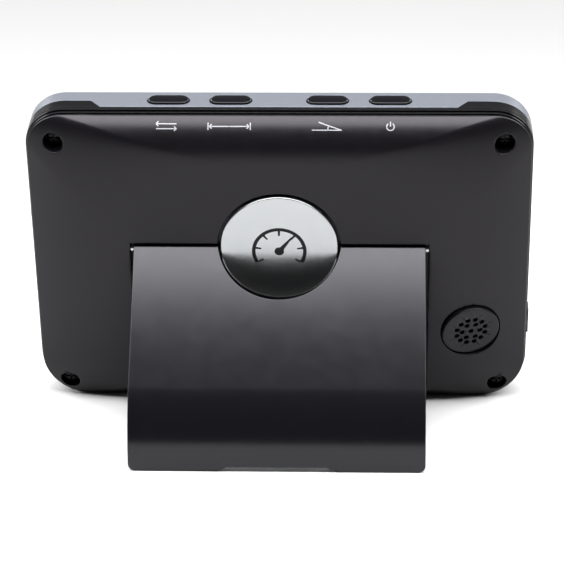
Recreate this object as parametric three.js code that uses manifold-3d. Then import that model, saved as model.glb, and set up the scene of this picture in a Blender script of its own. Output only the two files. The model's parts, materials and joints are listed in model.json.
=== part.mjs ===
// Portable radar speed monitor: a slim tabletop case with a display in front, four keys on
// top and a fold-out stand behind. Millimetres, +Z up, the display faces -Y.
//
// The case is drawn upright in its own frame and then leaned back as a whole:
// x runs to the right seen from the front, y to the rear and z up the case.
// The origin of that frame is the centre of the round emblem, on its outer face.

import * as THREE from "three";
import { mergeVertices } from "three/addons/utils/BufferGeometryUtils.js";
import Module from "manifold-3d";

const wasm = await Module();
wasm.setup();

// ---------------------------------------------------------------- driving dimensions

const GAP = 0.3; // clearance between pieces that touch
const CORNER_STEPS = 4;

const HALF_WIDTH = 78;
const TOP = 42.6;
const BOTTOM = -62.1;
const CORNER_RADIUS = { top: 12.4, bottom: 15.5 };
const WALL = 2.2;

// stations from the front face to the rear face
const FRONT_FACE = -24;
const HOUSING_REAR = -13.4;
const FRAME_FRONT = -13.1;
const FRAME_REAR = -9.9;
const COVER_FRONT = -9.6;
const COVER_REAR = -0.8;

// the rear cover: a narrow upright band, then arcs that rise to the flat back, each with its run
const COVER_INSET = 0.7;
const CROWN_FRONT = -9;
const CROWN_DROP = COVER_REAR - CROWN_FRONT;
const CROWN_RUNS = { side: 31.3, top: 13.6, bottom: 17.8 };
const CROWN_CORNER_GROWTH = 19;
const CROWN_LEVELS = [0, 0.16, 0.36, 0.56, 0.74, 0.88, 0.97, 1];

const EMBLEM_RADIUS = 18.2;
const EMBLEM_FACE = 0;
const EMBLEM_THICKNESS = 1.9;
const EMBLEM_RIM = 0.45;
const EMBLEM_DISH = { radius: 13.4, halfSlope: 0.16, depth: 0.13 };
const EMBLEM_SEAT_RADIUS = 19;

const STAND = {
  halfWidth: 45.25,
  thickness: 2.4,
  barrelRadius: 1.6,
  axisY: -2.4,
  axisZ: -1.6,
  bendZ: -47.4,
  bendRadius: 33,
  bendAngle: THREE.MathUtils.degToRad(46),
  openAngle: THREE.MathUtils.degToRad(53.5),
  cutOutRadius: 18.9,
  footCorner: 2.2,
  notchHalfWidth: 15.2,
  notchSlope: 3,
  notchHeight: 1.4,
};
const FOOT_ALLOWANCE = THREE.MathUtils.degToRad(0.6);
const RECESS_SIDE = 0.95;
const RECESS_FLOOR = COVER_REAR - STAND.thickness - 0.4;

const SCREW_POSTS = [
  [-68.8, 33.7],
  [68.8, 33.7],
  [-68.7, -55.1],
  [68.7, -55.1],
];
const COUNTERBORE_RADIUS = 3.1;
const TOWER_RADIUS = 3.6;
const COUNTERBORE_FLOOR = -11.4;
const COVER_POST_END = -12.9;

const KEYS = [
  { name: "key_unit", x: 33.8 },
  { name: "key_distance", x: 14.7 },
  { name: "key_angle", x: -14.9 },
  { name: "key_power", x: -34.1 },
];
const KEY_LENGTH = 12.6;
const KEY_WIDTH = 5.2;
const KEY_Y = -17.6;
const KEY_PROUD = 0.5;

const LENS = { halfWidth: 69, bottom: -52.4, top: 34.6, radius: 8, thickness: 1.4 };
const WINDOW = { halfWidth: 46, bottom: -10, top: 27, radius: 2.5 };
const LEDGE = { halfWidth: 71.5, bottom: -55, top: 36.4, radius: 9 };
const LEDGE_INNER = -20.2;

const HOUSING_POST_RADIUS = 3.4;
const BOARD_POST_RADIUS = 2.6;
const CASE_SCREW = { head: 2.6, headHeight: 1.8, shank: 1.25, length: 6.4, bore: 1.5 };
const BOARD_SCREW = { head: 2.1, headHeight: 1.2, shank: 0.95, length: 5.4, bore: 1.15 };
const PIN = { radius: 0.95, standBore: 1.05, coverBore: 1.15, depth: 5.2 };

const CELL_RADIUS = 5.2;
const CELL_LENGTH = 44.5;
const CELL_PITCH = 10.9;
const CELL_Y = -12;
const BAY = { halfWidth: 25.3, bottom: -53.4, top: -20.6, floor: -17.7 };
const DOOR = { halfWidth: 27.6, bottom: -54.4, top: -19.6, outer: -4.4, thickness: 1.6 };

// the speaker's face slopes a little more outward and downward than the surface around it
const SPEAKER = {
  x: -59.9,
  z: -32.1,
  radius: 9.2,
  ringRadius: 9.55,
  thickness: 1.5,
  slopeOut: 0.05,
  slopeDown: 0.12,
  edge: 0.35,
  holeRadius: 0.82,
};
// circles of holes in the speaker's face, each with its count, radius and turn in holes
const SPEAKER_HOLES = [
  { count: 1, circle: 0, turn: 0 },
  { count: 6, circle: 2.85, turn: 0 },
  { count: 12, circle: 4.7, turn: 0.5 },
];

const PORT = { y: -16.3, z: -35.8, halfLength: 4.6, halfHeight: 2.5, proud: 0.5 };

// ---------------------------------------------------------------- materials

function material(color, roughness, metalness) {
  return new THREE.MeshStandardMaterial({ color, roughness, metalness });
}

const MATERIALS = {
  silver: material(0xa4abb5, 0.35, 0.6),
  black: material(0x1c1c1f, 0.5, 0),
  cover: material(0x38373b, 0.45, 0),
  stand: material(0x45464d, 0.35, 0.2),
  chrome: material(0xd4d7dc, 0.15, 1),
  key: material(0x333438, 0.6, 0),
  lens: material(0x0c0d10, 0.08, 0),
  lcd: material(0x9aa38c, 0.3, 0),
  white: material(0xe6e8e4, 0.5, 0),
  board: material(0x1f5a3a, 0.5, 0.1),
  chip: material(0x17181a, 0.4, 0),
  steel: material(0xb8bbbf, 0.3, 1),
  cell: material(0x2f6f8f, 0.35, 0.5),
  rubber: material(0x202022, 0.8, 0),
};

// ---------------------------------------------------------------- solids

function toSolid(geometry) {
  const bare = geometry.clone();
  bare.deleteAttribute("normal");
  bare.deleteAttribute("uv");
  const merged = mergeVertices(bare, 1e-4);
  return new wasm.Manifold(
    new wasm.Mesh({
      numProp: 3,
      vertProperties: new Float32Array(merged.attributes.position.array),
      triVerts: new Uint32Array(merged.index.array),
    })
  );
}

function toGeometry(solid) {
  const mesh = solid.getMesh();
  const geometry = new THREE.BufferGeometry();
  geometry.setAttribute("position", new THREE.BufferAttribute(mesh.vertProperties, 3));
  geometry.setIndex(new THREE.BufferAttribute(mesh.triVerts, 1));
  geometry.computeVertexNormals();
  return geometry;
}

const join = (first, ...rest) => rest.reduce((sum, next) => sum.add(next), first);
const cut = (base, ...tools) => tools.reduce((left, tool) => left.subtract(tool), base);

function block(x0, x1, y0, y1, z0, z1) {
  const geometry = new THREE.BoxGeometry(x1 - x0, y1 - y0, z1 - z0);
  geometry.translate((x0 + x1) / 2, (y0 + y1) / 2, (z0 + z1) / 2);
  return toSolid(geometry);
}

// a round post along y
function post(x, z, radius, front, rear, steps = 16) {
  const geometry = new THREE.CylinderGeometry(radius, radius, rear - front, steps);
  geometry.translate(x, (front + rear) / 2, z);
  return toSolid(geometry);
}

// a round bar along x
function bar(x0, x1, y, z, radius, steps = 16) {
  const geometry = new THREE.CylinderGeometry(radius, radius, x1 - x0, steps);
  geometry.rotateZ(Math.PI / 2);
  geometry.translate((x0 + x1) / 2, y, z);
  return toSolid(geometry);
}

// a body of revolution about y from [radius, y] pairs that start and end on the axis
function turned(profile, steps = 24) {
  const points = profile.map(([radius, y]) => new THREE.Vector2(radius, y));
  return toSolid(new THREE.LatheGeometry(points, steps));
}

function transformed(solid, matrix) {
  const geometry = toGeometry(solid);
  geometry.applyMatrix4(matrix);
  return toSolid(geometry);
}

function roundedShape(left, right, bottom, top, radius) {
  const shape = new THREE.Shape();
  shape.moveTo(left + radius, bottom);
  shape.absarc(right - radius, bottom + radius, radius, -Math.PI / 2, 0);
  shape.absarc(right - radius, top - radius, radius, 0, Math.PI / 2);
  shape.absarc(left + radius, top - radius, radius, Math.PI / 2, Math.PI);
  shape.absarc(left + radius, bottom + radius, radius, Math.PI, 1.5 * Math.PI);
  return shape;
}

// a shape drawn in (x, z) that fills y from front to rear
function slab(shape, front, rear, curveSegments = 6) {
  const options = { depth: rear - front, bevelEnabled: false, curveSegments };
  const geometry = new THREE.ExtrudeGeometry(shape, options);
  geometry.rotateX(Math.PI / 2);
  geometry.translate(0, rear, 0);
  return toSolid(geometry);
}

// a shape drawn in (y, z) that fills x from x0 to x1
function sideSlab(shape, x0, x1, curveSegments = 8) {
  const options = { depth: x1 - x0, bevelEnabled: false, curveSegments };
  const geometry = new THREE.ExtrudeGeometry(shape, options);
  const toSide = new THREE.Matrix4().makeBasis(
    new THREE.Vector3(0, 1, 0),
    new THREE.Vector3(0, 0, 1),
    new THREE.Vector3(1, 0, 0)
  );
  geometry.applyMatrix4(toSide);
  geometry.translate(x0, 0, 0);
  return toSolid(geometry);
}

// a rectangle with its own corner radius above and below, as a ring of points at one station
function ring(left, right, bottom, top, radii, y) {
  const corners = [
    [right - radii.top, top - radii.top, radii.top],
    [left + radii.top, top - radii.top, radii.top],
    [left + radii.bottom, bottom + radii.bottom, radii.bottom],
    [right - radii.bottom, bottom + radii.bottom, radii.bottom],
  ];
  const points = [];
  corners.forEach(([x, z, radius], quarter) => {
    for (let step = 0; step <= CORNER_STEPS; step += 1) {
      const angle = (Math.PI / 2) * (quarter + step / CORNER_STEPS);
      points.push([x + radius * Math.cos(angle), y, z + radius * Math.sin(angle)]);
    }
  });
  return points;
}

// a closed body through rings that run from the front to the rear
function loft(rings) {
  const count = rings[0].length;
  const positions = rings.flat(2);
  const faces = [];
  for (let level = 0; level + 1 < rings.length; level += 1) {
    for (let i = 0; i < count; i += 1) {
      const a = level * count + i;
      const b = level * count + ((i + 1) % count);
      faces.push(a, a + count, b, b, a + count, b + count);
    }
  }
  const last = (rings.length - 1) * count;
  for (let i = 1; i + 1 < count; i += 1) {
    faces.push(0, i, i + 1);
    faces.push(last, last + i + 1, last + i);
  }
  const geometry = new THREE.BufferGeometry();
  geometry.setAttribute("position", new THREE.Float32BufferAttribute(positions, 3));
  geometry.setIndex(faces);
  return toSolid(geometry);
}

function cornerRadii(growth) {
  return {
    top: Math.max(CORNER_RADIUS.top + growth, 2),
    bottom: Math.max(CORNER_RADIUS.bottom + growth, 2),
  };
}

// the case outline pulled in by the same amount on every side
function caseRing(inset, y) {
  const radii = cornerRadii(-inset);
  return ring(-HALF_WIDTH + inset, HALF_WIDTH - inset, BOTTOM + inset, TOP - inset, radii, y);
}

// ---------------------------------------------------------------- the crowned rear surface

// how far an arc of this run has come in from the edge at a level of its rise
function crownInset(run, level) {
  const drop = (1 - level) * CROWN_DROP;
  const radius = (run * run + CROWN_DROP * CROWN_DROP) / (2 * CROWN_DROP);
  return run - Math.sqrt(2 * radius * drop - drop * drop);
}

// the rear cover's outline at a level from 0, the foot of the arcs, to 1, its flat back
function crownOutline(level, offset = 0) {
  const sideInset = crownInset(CROWN_RUNS.side, level);
  const side = COVER_INSET + sideInset + offset;
  const growth = (CROWN_CORNER_GROWTH * sideInset) / CROWN_RUNS.side - COVER_INSET - offset;
  return {
    left: -HALF_WIDTH + side,
    right: HALF_WIDTH - side,
    bottom: BOTTOM + COVER_INSET + crownInset(CROWN_RUNS.bottom, level) + offset,
    top: TOP - COVER_INSET - crownInset(CROWN_RUNS.top, level) - offset,
    radii: cornerRadii(growth),
  };
}

function crownRing(level, y, offset = 0) {
  const { left, right, bottom, top, radii } = crownOutline(level, offset);
  return ring(left, right, bottom, top, radii, y);
}

// the crowned body from a front station, lowered by a drop and pulled in all round by an offset
function crownSolid(front, offset = 0, drop = 0) {
  const foot = CROWN_FRONT - drop;
  const arcs = CROWN_LEVELS.map((level) => crownRing(level, foot + level * CROWN_DROP, offset));
  return loft([crownRing(0, front, offset), ...arcs]);
}

// how far a point lies outside the outline of one level (negative when inside)
function outsideBy(x, z, level) {
  const { left, right, bottom, top, radii } = crownOutline(level);
  const radius = z > (bottom + top) / 2 ? radii.top : radii.bottom;
  const dx = Math.max(x - (right - radius), left + radius - x, 0);
  const dz = Math.max(z - (top - radius), bottom + radius - z, 0);
  return Math.hypot(dx, dz) - radius;
}

// the depth of the rear surface behind a point (x, z)
function surfaceY(x, z) {
  let low = 0;
  let high = 1;
  if (outsideBy(x, z, high) <= 0) return COVER_REAR;
  for (let i = 0; i < 40; i += 1) {
    const middle = (low + high) / 2;
    if (outsideBy(x, z, middle) > 0) high = middle;
    else low = middle;
  }
  return CROWN_FRONT + low * CROWN_DROP;
}

// a frame on the rear surface whose y axis is the outward normal, with some slope added
function surfaceFrame(x, z, moreX, moreZ) {
  const step = 4;
  const slopeX = (surfaceY(x + step, z) - surfaceY(x - step, z)) / (2 * step) + moreX;
  const slopeZ = (surfaceY(x, z + step) - surfaceY(x, z - step)) / (2 * step) + moreZ;
  const normal = new THREE.Vector3(-slopeX, 1, -slopeZ).normalize();
  const turn = new THREE.Quaternion().setFromUnitVectors(new THREE.Vector3(0, 1, 0), normal);
  const place = new THREE.Vector3(x, surfaceY(x, z), z);
  return new THREE.Matrix4().compose(place, turn, new THREE.Vector3(1, 1, 1));
}

// ---------------------------------------------------------------- the lean of the case

// a stand point given along and off the plate, folded out about the hinge
function openedPoint(y, z) {
  const along = STAND.axisZ - z;
  const off = y - STAND.axisY;
  const { openAngle } = STAND;
  return [
    STAND.axisY + along * Math.sin(openAngle) + off * Math.cos(openAngle),
    STAND.axisZ - along * Math.cos(openAngle) + off * Math.sin(openAngle),
  ];
}

function standTip() {
  const { bendZ, bendRadius, bendAngle } = STAND;
  const y = COVER_REAR - bendRadius * (1 - Math.cos(bendAngle));
  return openedPoint(y, bendZ - bendRadius * Math.sin(bendAngle));
}

// steps of the dark frame's outer surface, from its front to its rear
const RESTING_RIB = { rear: -11.5, inset: 0.1 };
const FRAME_RIBS = [
  { rear: -12.7, inset: 0.9 },
  RESTING_RIB,
  { rear: -11, inset: 0.9 },
  { rear: -10.2, inset: 0.45 },
  { rear: FRAME_REAR, inset: 0.95 },
];

// the lean at which the frame's lowest rib and the stand's foot are level
function leanAngle() {
  const [tipY, tipZ] = standTip();
  return Math.atan2(tipZ - BOTTOM - RESTING_RIB.inset, tipY - RESTING_RIB.rear);
}

const LEAN = leanAngle();
const caseTurn = new THREE.Matrix4().makeRotationX(-LEAN);
const FLOOR = (() => {
  const [y, z] = standTip();
  return z * Math.cos(LEAN) - y * Math.sin(LEAN);
})();

// ---------------------------------------------------------------- the case

// the corner bumpers of the dark frame reach forward over the silver housing
const BUMPER = { front: -17, startX: 54, endX: 57.8, drop: 20, slope: 3.8, depth: 1.1 };

function bumperZone(signX, signZ, grow) {
  const edgeZ = signZ > 0 ? TOP : -BOTTOM;
  const far = 90;
  const corner = (x, z, y) => {
    const xs = [signX * x, signX * far];
    const zs = [signZ * z, signZ * far];
    return [
      [Math.max(...xs), y, Math.max(...zs)],
      [Math.min(...xs), y, Math.max(...zs)],
      [Math.min(...xs), y, Math.min(...zs)],
      [Math.max(...xs), y, Math.min(...zs)],
    ];
  };
  const startZ = edgeZ - BUMPER.drop - grow;
  return loft([
    corner(BUMPER.endX - grow, startZ + BUMPER.slope, BUMPER.front - grow),
    corner(BUMPER.startX - grow, startZ, HOUSING_REAR + 1),
  ]);
}

function bumperZones(grow) {
  const zones = [];
  for (const signX of [-1, 1]) {
    for (const signZ of [-1, 1]) zones.push(bumperZone(signX, signZ, grow));
  }
  return join(...zones);
}

function housingOuter() {
  return loft([
    caseRing(2.6, FRONT_FACE),
    caseRing(1.3, FRONT_FACE + 0.25),
    caseRing(0.6, FRONT_FACE + 0.8),
    caseRing(0.3, FRONT_FACE + 1.6),
    caseRing(0.15, HOUSING_REAR),
  ]);
}

function frontHousing() {
  const cavity = loft([
    caseRing(WALL + 0.35, FRONT_FACE + WALL),
    caseRing(WALL + 0.15, HOUSING_REAR + 1),
  ]);
  const ledgeShape = roundedShape(-LEDGE.halfWidth, LEDGE.halfWidth, LEDGE.bottom, LEDGE.top, LEDGE.radius);
  const ledge = slab(ledgeShape, FRONT_FACE + 1, LEDGE_INNER);
  const posts = SCREW_POSTS.map(([x, z]) =>
    post(x, z, HOUSING_POST_RADIUS, FRONT_FACE + 1, COVER_POST_END - GAP)
  );
  const boardPosts = BOARD_SCREWS.map(([x, z]) =>
    post(x, z, BOARD_POST_RADIUS, FRONT_FACE + 1.8, BOARD_FRONT - GAP)
  );
  const body = join(housingOuter().subtract(cavity), ledge, ...posts, ...boardPosts);
  const skin = loft([caseRing(-1, FRONT_FACE), caseRing(-1, HOUSING_REAR + 1)]).subtract(
    loft([caseRing(BUMPER.depth + 0.35, FRONT_FACE - 1), caseRing(BUMPER.depth + 0.35, HOUSING_REAR + 2)])
  );
  const lensPocket = slab(lensShape(GAP), FRONT_FACE - 1, FRONT_FACE + 2.1);
  const { halfWidth, bottom, top, radius } = WINDOW;
  const window = slab(
    roundedShape(-halfWidth - 2, halfWidth + 2, bottom - 2, top + 2, radius),
    FRONT_FACE,
    LEDGE_INNER + 1
  );
  const keySlots = KEYS.map(({ x }) =>
    keyPrism(x, KEY_LENGTH + 2 * GAP, KEY_WIDTH + 2 * GAP, TOP - 6, TOP + 2)
  );
  const screwBores = SCREW_POSTS.map(([x, z]) => post(x, z, CASE_SCREW.bore, FRONT_FACE + 2, -12, 12));
  const boardBores = BOARD_SCREWS.map(([x, z]) => post(x, z, BOARD_SCREW.bore, FRONT_FACE + 3.4, -12, 12));
  const portSlot = block(-80, -60, PORT.y - 1.8, PORT.y + 1.8, PORT.z - 4, PORT.z + 4);
  const flapSeat = block(
    -80,
    -HALF_WIDTH + 1.1,
    PORT.y - PORT.halfHeight - GAP,
    PORT.y + PORT.halfHeight + GAP,
    PORT.z - PORT.halfLength - GAP,
    PORT.z + PORT.halfLength + GAP
  );
  const bumpers = bumperZones(GAP).intersect(skin);
  const tools = [bumpers, lensPocket, window, ...keySlots, ...screwBores, ...boardBores];
  return cut(body, ...tools, portSlot, flapSeat);
}

function lensShape(grow) {
  const { halfWidth, bottom, top, radius } = LENS;
  return roundedShape(-halfWidth - grow, halfWidth + grow, bottom - grow, top + grow, radius);
}

function displayLens() {
  return slab(lensShape(0), FRONT_FACE + 0.1, FRONT_FACE + 0.1 + LENS.thickness);
}

// the black film behind the lens, open over the display
function displayMask() {
  const { halfWidth, bottom, top, radius } = WINDOW;
  const front = FRONT_FACE + 0.1 + LENS.thickness + 0.1;
  const film = slab(lensShape(-0.5), front, front + 0.25);
  const opening = slab(roundedShape(-halfWidth, halfWidth, bottom, top, radius), front - 1, front + 1);
  return film.subtract(opening);
}

function midFrame() {
  const rings = [];
  let front = FRAME_FRONT;
  for (const { rear, inset } of FRAME_RIBS) {
    rings.push(caseRing(inset, front), caseRing(inset, rear));
    front = rear;
  }
  const outer = loft(separated(rings));
  const inner = loft([caseRing(3.4, FRAME_FRONT - 1), caseRing(3.4, FRAME_REAR + 1)]);
  const band = loft([caseRing(0.1, BUMPER.front), caseRing(0.1, FRAME_FRONT + 0.2)]).subtract(
    loft([caseRing(BUMPER.depth, BUMPER.front - 1), caseRing(BUMPER.depth, FRAME_FRONT + 1)])
  );
  const bumpers = band.intersect(bumperZones(0));
  const posts = SCREW_POSTS.map(([x, z]) => post(x, z, TOWER_RADIUS + 0.25, FRAME_FRONT - 1, FRAME_REAR + 1));
  return cut(join(outer, bumpers), inner, ...posts);
}

// rings at one station are nudged apart so that no wall has zero thickness
function separated(rings) {
  const nudge = 0.02;
  return rings.map((points, i) => {
    const shift = i % 2 === 0 && i > 0 ? nudge : 0;
    return points.map(([x, y, z]) => [x, y + shift, z]);
  });
}

// the folded stand from the side: a barrel, a flat plate and a curved foot, which is drawn a
// little long and cut level afterwards
function standProfile() {
  const { thickness, barrelRadius, axisY, axisZ, bendZ, bendRadius, bendAngle } = STAND;
  const inner = COVER_REAR - thickness;
  const centre = COVER_REAR - bendRadius;
  const end = -bendAngle - FOOT_ALLOWANCE;
  const shape = new THREE.Shape();
  shape.moveTo(COVER_REAR, axisZ);
  shape.lineTo(COVER_REAR, bendZ);
  shape.absarc(centre, bendZ, bendRadius, 0, end, true);
  shape.absarc(centre, bendZ, bendRadius - thickness, end, 0, false);
  shape.lineTo(inner, axisZ - barrelRadius);
  shape.absarc(axisY, axisZ, barrelRadius, 1.25 * Math.PI, 0, true);
  return shape;
}

// the room that the folded stand needs in the rear cover
function standRecess() {
  const side = STAND.halfWidth + RECESS_SIDE;
  const bendCentre = COVER_REAR - STAND.bendRadius;
  const floorRadius = STAND.bendRadius - STAND.thickness - 0.4;
  const shape = new THREE.Shape();
  shape.moveTo(6, 1);
  shape.lineTo(RECESS_FLOOR, 1);
  shape.lineTo(RECESS_FLOOR, STAND.bendZ);
  shape.absarc(bendCentre, STAND.bendZ, floorRadius, 0, -STAND.bendAngle, true);
  shape.lineTo(6, -75);
  const pocket = sideSlab(shape, -side, side);
  const barrel = bar(-side, side, STAND.axisY, STAND.axisZ, STAND.barrelRadius + 0.4, 20);
  return pocket.add(barrel);
}

function rearCover() {
  const shell = crownSolid(COVER_FRONT);
  const hollow = crownSolid(COVER_FRONT - 4, WALL, WALL);
  const side = STAND.halfWidth + RECESS_SIDE;
  const floor = block(-side - 3.6, side + 3.6, RECESS_FLOOR - 2.2, 0, -58, 3.2).intersect(shell);
  const tub = slab(
    roundedShape(-BAY.halfWidth - 4.1, BAY.halfWidth + 4.1, BAY.bottom - 2.6, BAY.top + 2.6, 2),
    BAY.floor - 1.5,
    RECESS_FLOOR - 1
  );
  const seatFloor = EMBLEM_FACE - EMBLEM_THICKNESS - 0.2;
  const seatPost = post(0, 0, EMBLEM_RADIUS - 0.6, RECESS_FLOOR - 2.2, seatFloor, 40);
  const lowTowers = SCREW_POSTS.map(([x, z]) => post(x, z, TOWER_RADIUS, COVER_POST_END, COVER_FRONT + 2));
  const towers = SCREW_POSTS.map(([x, z]) =>
    post(x, z, TOWER_RADIUS, COVER_FRONT, COVER_REAR).intersect(shell)
  );
  const speakerBody = transformed(
    join(post(0, 0, SPEAKER.ringRadius + 1.6, -4.6, 0, 24), post(0, 0, 10.8, -7.6, -3, 24)),
    speakerFrame
  ).intersect(crownSolid(COVER_FRONT - 6, 0.3));

  const recess = cut(standRecess(), post(0, 0, EMBLEM_RADIUS - 0.6, -30, 10, 40));
  const emblemSeat = post(0, 0, EMBLEM_SEAT_RADIUS, seatFloor, 5, 40);
  const bay = block(-BAY.halfWidth, BAY.halfWidth, BAY.floor, 5, BAY.bottom, BAY.top);
  const doorSeat = block(
    -DOOR.halfWidth - GAP,
    DOOR.halfWidth + GAP,
    DOOR.outer - DOOR.thickness - 0.2,
    5,
    DOOR.bottom - GAP,
    DOOR.top + GAP
  );
  const bores = SCREW_POSTS.flatMap(([x, z]) => [
    post(x, z, COUNTERBORE_RADIUS, COUNTERBORE_FLOOR, 5, 24),
    post(x, z, CASE_SCREW.bore, -30, 5, 12),
  ]);
  const speakerRoom = transformed(
    join(
      post(0, 0, SPEAKER.ringRadius, -SPEAKER.thickness - 0.6, 5, 32),
      post(0, 0, 7.6, -12, 5, 24),
      post(0, 0, 9.6, -12, -4.2, 24)
    ),
    speakerFrame
  );
  const pinHoles = bar(-side - 3.1, side + 3.1, STAND.axisY, STAND.axisZ, PIN.coverBore);
  const body = join(shell.subtract(hollow), floor, tub, seatPost, ...lowTowers, ...towers, speakerBody);
  return cut(body, recess, emblemSeat, bay, doorSeat, ...bores, speakerRoom, pinHoles);
}

// ---------------------------------------------------------------- the stand

function stand(worldMatrix) {
  const { halfWidth, cutOutRadius } = STAND;
  const plate = sideSlab(standProfile(), -halfWidth, halfWidth);
  const roundCut = post(0, 0, cutOutRadius, -12, 6, 48);
  const bores = [
    bar(halfWidth - PIN.depth, halfWidth + 1, STAND.axisY, STAND.axisZ, PIN.standBore),
    bar(-halfWidth - 1, -halfWidth + PIN.depth, STAND.axisY, STAND.axisZ, PIN.standBore),
  ];
  const outline = slab(footOutline(), -120, 120, 4);
  const keep = transformed(outline, worldMatrix.clone().invert());
  return cut(plate, roundCut, ...bores).intersect(keep);
}

// the stand's outline seen level from behind: round lower corners and a shallow notch
function footOutline() {
  const { halfWidth, footCorner, notchHalfWidth, notchSlope, notchHeight } = STAND;
  const low = FLOOR;
  const shape = new THREE.Shape();
  shape.moveTo(-halfWidth - 0.01, 40);
  shape.lineTo(-halfWidth - 0.01, low + footCorner);
  shape.absarc(-halfWidth + footCorner, low + footCorner, footCorner, Math.PI, 1.5 * Math.PI);
  shape.lineTo(-notchHalfWidth - notchSlope, low);
  shape.lineTo(-notchHalfWidth, low + notchHeight);
  shape.lineTo(notchHalfWidth, low + notchHeight);
  shape.lineTo(notchHalfWidth + notchSlope, low);
  shape.absarc(halfWidth - footCorner, low + footCorner, footCorner, -Math.PI / 2, 0);
  shape.lineTo(halfWidth + 0.01, 40);
  return shape;
}

function hingePin(sign) {
  const inner = STAND.halfWidth - PIN.depth + 0.4;
  const outer = STAND.halfWidth + RECESS_SIDE + 2.8;
  return sign > 0
    ? bar(inner, outer, STAND.axisY, STAND.axisZ, PIN.radius)
    : bar(-outer, -inner, STAND.axisY, STAND.axisZ, PIN.radius);
}

function emblem() {
  const back = EMBLEM_FACE - EMBLEM_THICKNESS;
  const profile = [[0, back], [EMBLEM_RADIUS, back], [EMBLEM_RADIUS, EMBLEM_FACE - EMBLEM_RIM]];
  for (let i = 1; i <= 3; i += 1) {
    const angle = (i / 3) * (Math.PI / 2);
    profile.push([
      EMBLEM_RADIUS - EMBLEM_RIM * (1 - Math.cos(angle)),
      EMBLEM_FACE - EMBLEM_RIM + EMBLEM_RIM * Math.sin(angle),
    ]);
  }
  const { radius, halfSlope, depth } = EMBLEM_DISH;
  profile.push([radius + halfSlope, EMBLEM_FACE], [radius - halfSlope, EMBLEM_FACE - depth]);
  profile.push([0, EMBLEM_FACE - depth]);
  return turned(profile, 48);
}

// ---------------------------------------------------------------- keys

// a pill outline in (x, y) that fills z from low to high
function keyPrism(x, length, width, low, high) {
  const half = width / 2;
  const reach = length / 2 - half;
  const shape = new THREE.Shape();
  shape.moveTo(-reach, -half);
  shape.absarc(reach, 0, half, -Math.PI / 2, Math.PI / 2);
  shape.absarc(-reach, 0, half, Math.PI / 2, 1.5 * Math.PI);
  const geometry = new THREE.ExtrudeGeometry(shape, {
    depth: high - low,
    bevelEnabled: false,
    curveSegments: 8,
  });
  geometry.translate(x, KEY_Y, low);
  return toSolid(geometry);
}

function key(x) {
  const cap = keyPrism(x, KEY_LENGTH, KEY_WIDTH, TOP - 3.6, TOP + KEY_PROUD);
  const ears = block(x - 8.2, x + 8.2, KEY_Y - 1.8, KEY_Y + 1.8, TOP - 4.2, TOP - 3.2);
  return join(cap, ears);
}

const KEY_BOARD_TOP = 34.4;

function tactSwitch(x) {
  const base = block(x - 3, x + 3, KEY_Y - 2, KEY_Y + 2, KEY_BOARD_TOP + 0.1, KEY_BOARD_TOP + 2.6);
  const plunger = block(x - 1.2, x + 1.2, KEY_Y - 0.8, KEY_Y + 0.8, KEY_BOARD_TOP + 2, TOP - 5.1);
  return base.add(plunger);
}

function keyBoard() {
  return block(-42, 42, KEY_Y - 2.3, KEY_Y + 3.7, KEY_BOARD_TOP - 1, KEY_BOARD_TOP);
}

// ---------------------------------------------------------------- display and electronics

const LCD = { halfWidth: 51, bottom: -15, top: 31, thickness: 2.2 };
const GUIDE = { halfWidth: 49, bottom: -14, top: 30, tabReach: 53 };
const MAIN_BOARD = { halfWidth: 61, bottom: -15, top: 31.5, cornerRadius: 2 };
const BOARD_FRONT = -15.4;
const BOARD_REAR = -13.8;
const BOARD_SCREWS = [
  [-56, 26],
  [56, 26],
  [-56, -9],
  [56, -9],
];

function lcdPanel() {
  const front = LEDGE_INNER + 0.2;
  return block(-LCD.halfWidth, LCD.halfWidth, front, front + LCD.thickness, LCD.bottom, LCD.top);
}

function backlight() {
  const { halfWidth, bottom, top, tabReach } = GUIDE;
  const front = LEDGE_INNER + LCD.thickness + 0.4;
  const guide = block(-halfWidth, halfWidth, front, BOARD_FRONT - 0.3, bottom, top);
  const tab = block(-tabReach, 1 - halfWidth, front + 0.2, BOARD_FRONT - 0.5, 4, 12);
  return guide.add(tab);
}

function mainBoard() {
  const { halfWidth, bottom, top, cornerRadius } = MAIN_BOARD;
  const board = slab(roundedShape(-halfWidth, halfWidth, bottom, top, cornerRadius), BOARD_FRONT, BOARD_REAR);
  const holes = BOARD_SCREWS.map(([x, z]) => post(x, z, 1.3, -20, -10, 12));
  return cut(board, ...holes);
}

function processor() {
  const body = block(14, 26, BOARD_REAR + 0.1, BOARD_REAR + 1.5, 4, 16);
  const mark = post(16, 14, 0.6, BOARD_REAR + 1.3, BOARD_REAR + 3, 12);
  return body.subtract(mark);
}

const RADAR = { x: 49, z: -35.5, halfWidth: 18, halfHeight: 15 };

function radarBoard() {
  const { x, z, halfWidth, halfHeight } = RADAR;
  return block(x - halfWidth, x + halfWidth, -19.9, -18.7, z - halfHeight, z + halfHeight);
}

// two columns of patches fed by one trunk, as one sheet of copper
function radarAntenna() {
  const front = -20.05;
  const rear = -19.98;
  const { x, z } = RADAR;
  const pieces = [block(x - 0.3, x + 0.3, front, rear, z - 11.5, z + 11.5)];
  for (const column of [-1, 1]) {
    for (let row = 0; row < 4; row += 1) {
      const patchX = x + column * 7;
      const patchZ = z + (row - 1.5) * 6.4;
      pieces.push(block(patchX - 2.1, patchX + 2.1, front, rear, patchZ - 2.1, patchZ + 2.1));
      const feed = [x, patchX].sort((a, b) => a - b);
      pieces.push(block(feed[0], feed[1], front, rear, patchZ - 0.2, patchZ + 0.2));
    }
  }
  return join(...pieces);
}

function radarShield() {
  const { x, z } = RADAR;
  const can = block(x - 14, x + 14, -18.5, -15, z - 11, z + 11);
  const inside = block(x - 13.6, x + 13.6, -19, -15.4, z - 10.6, z + 10.6);
  return can.subtract(inside);
}

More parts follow.
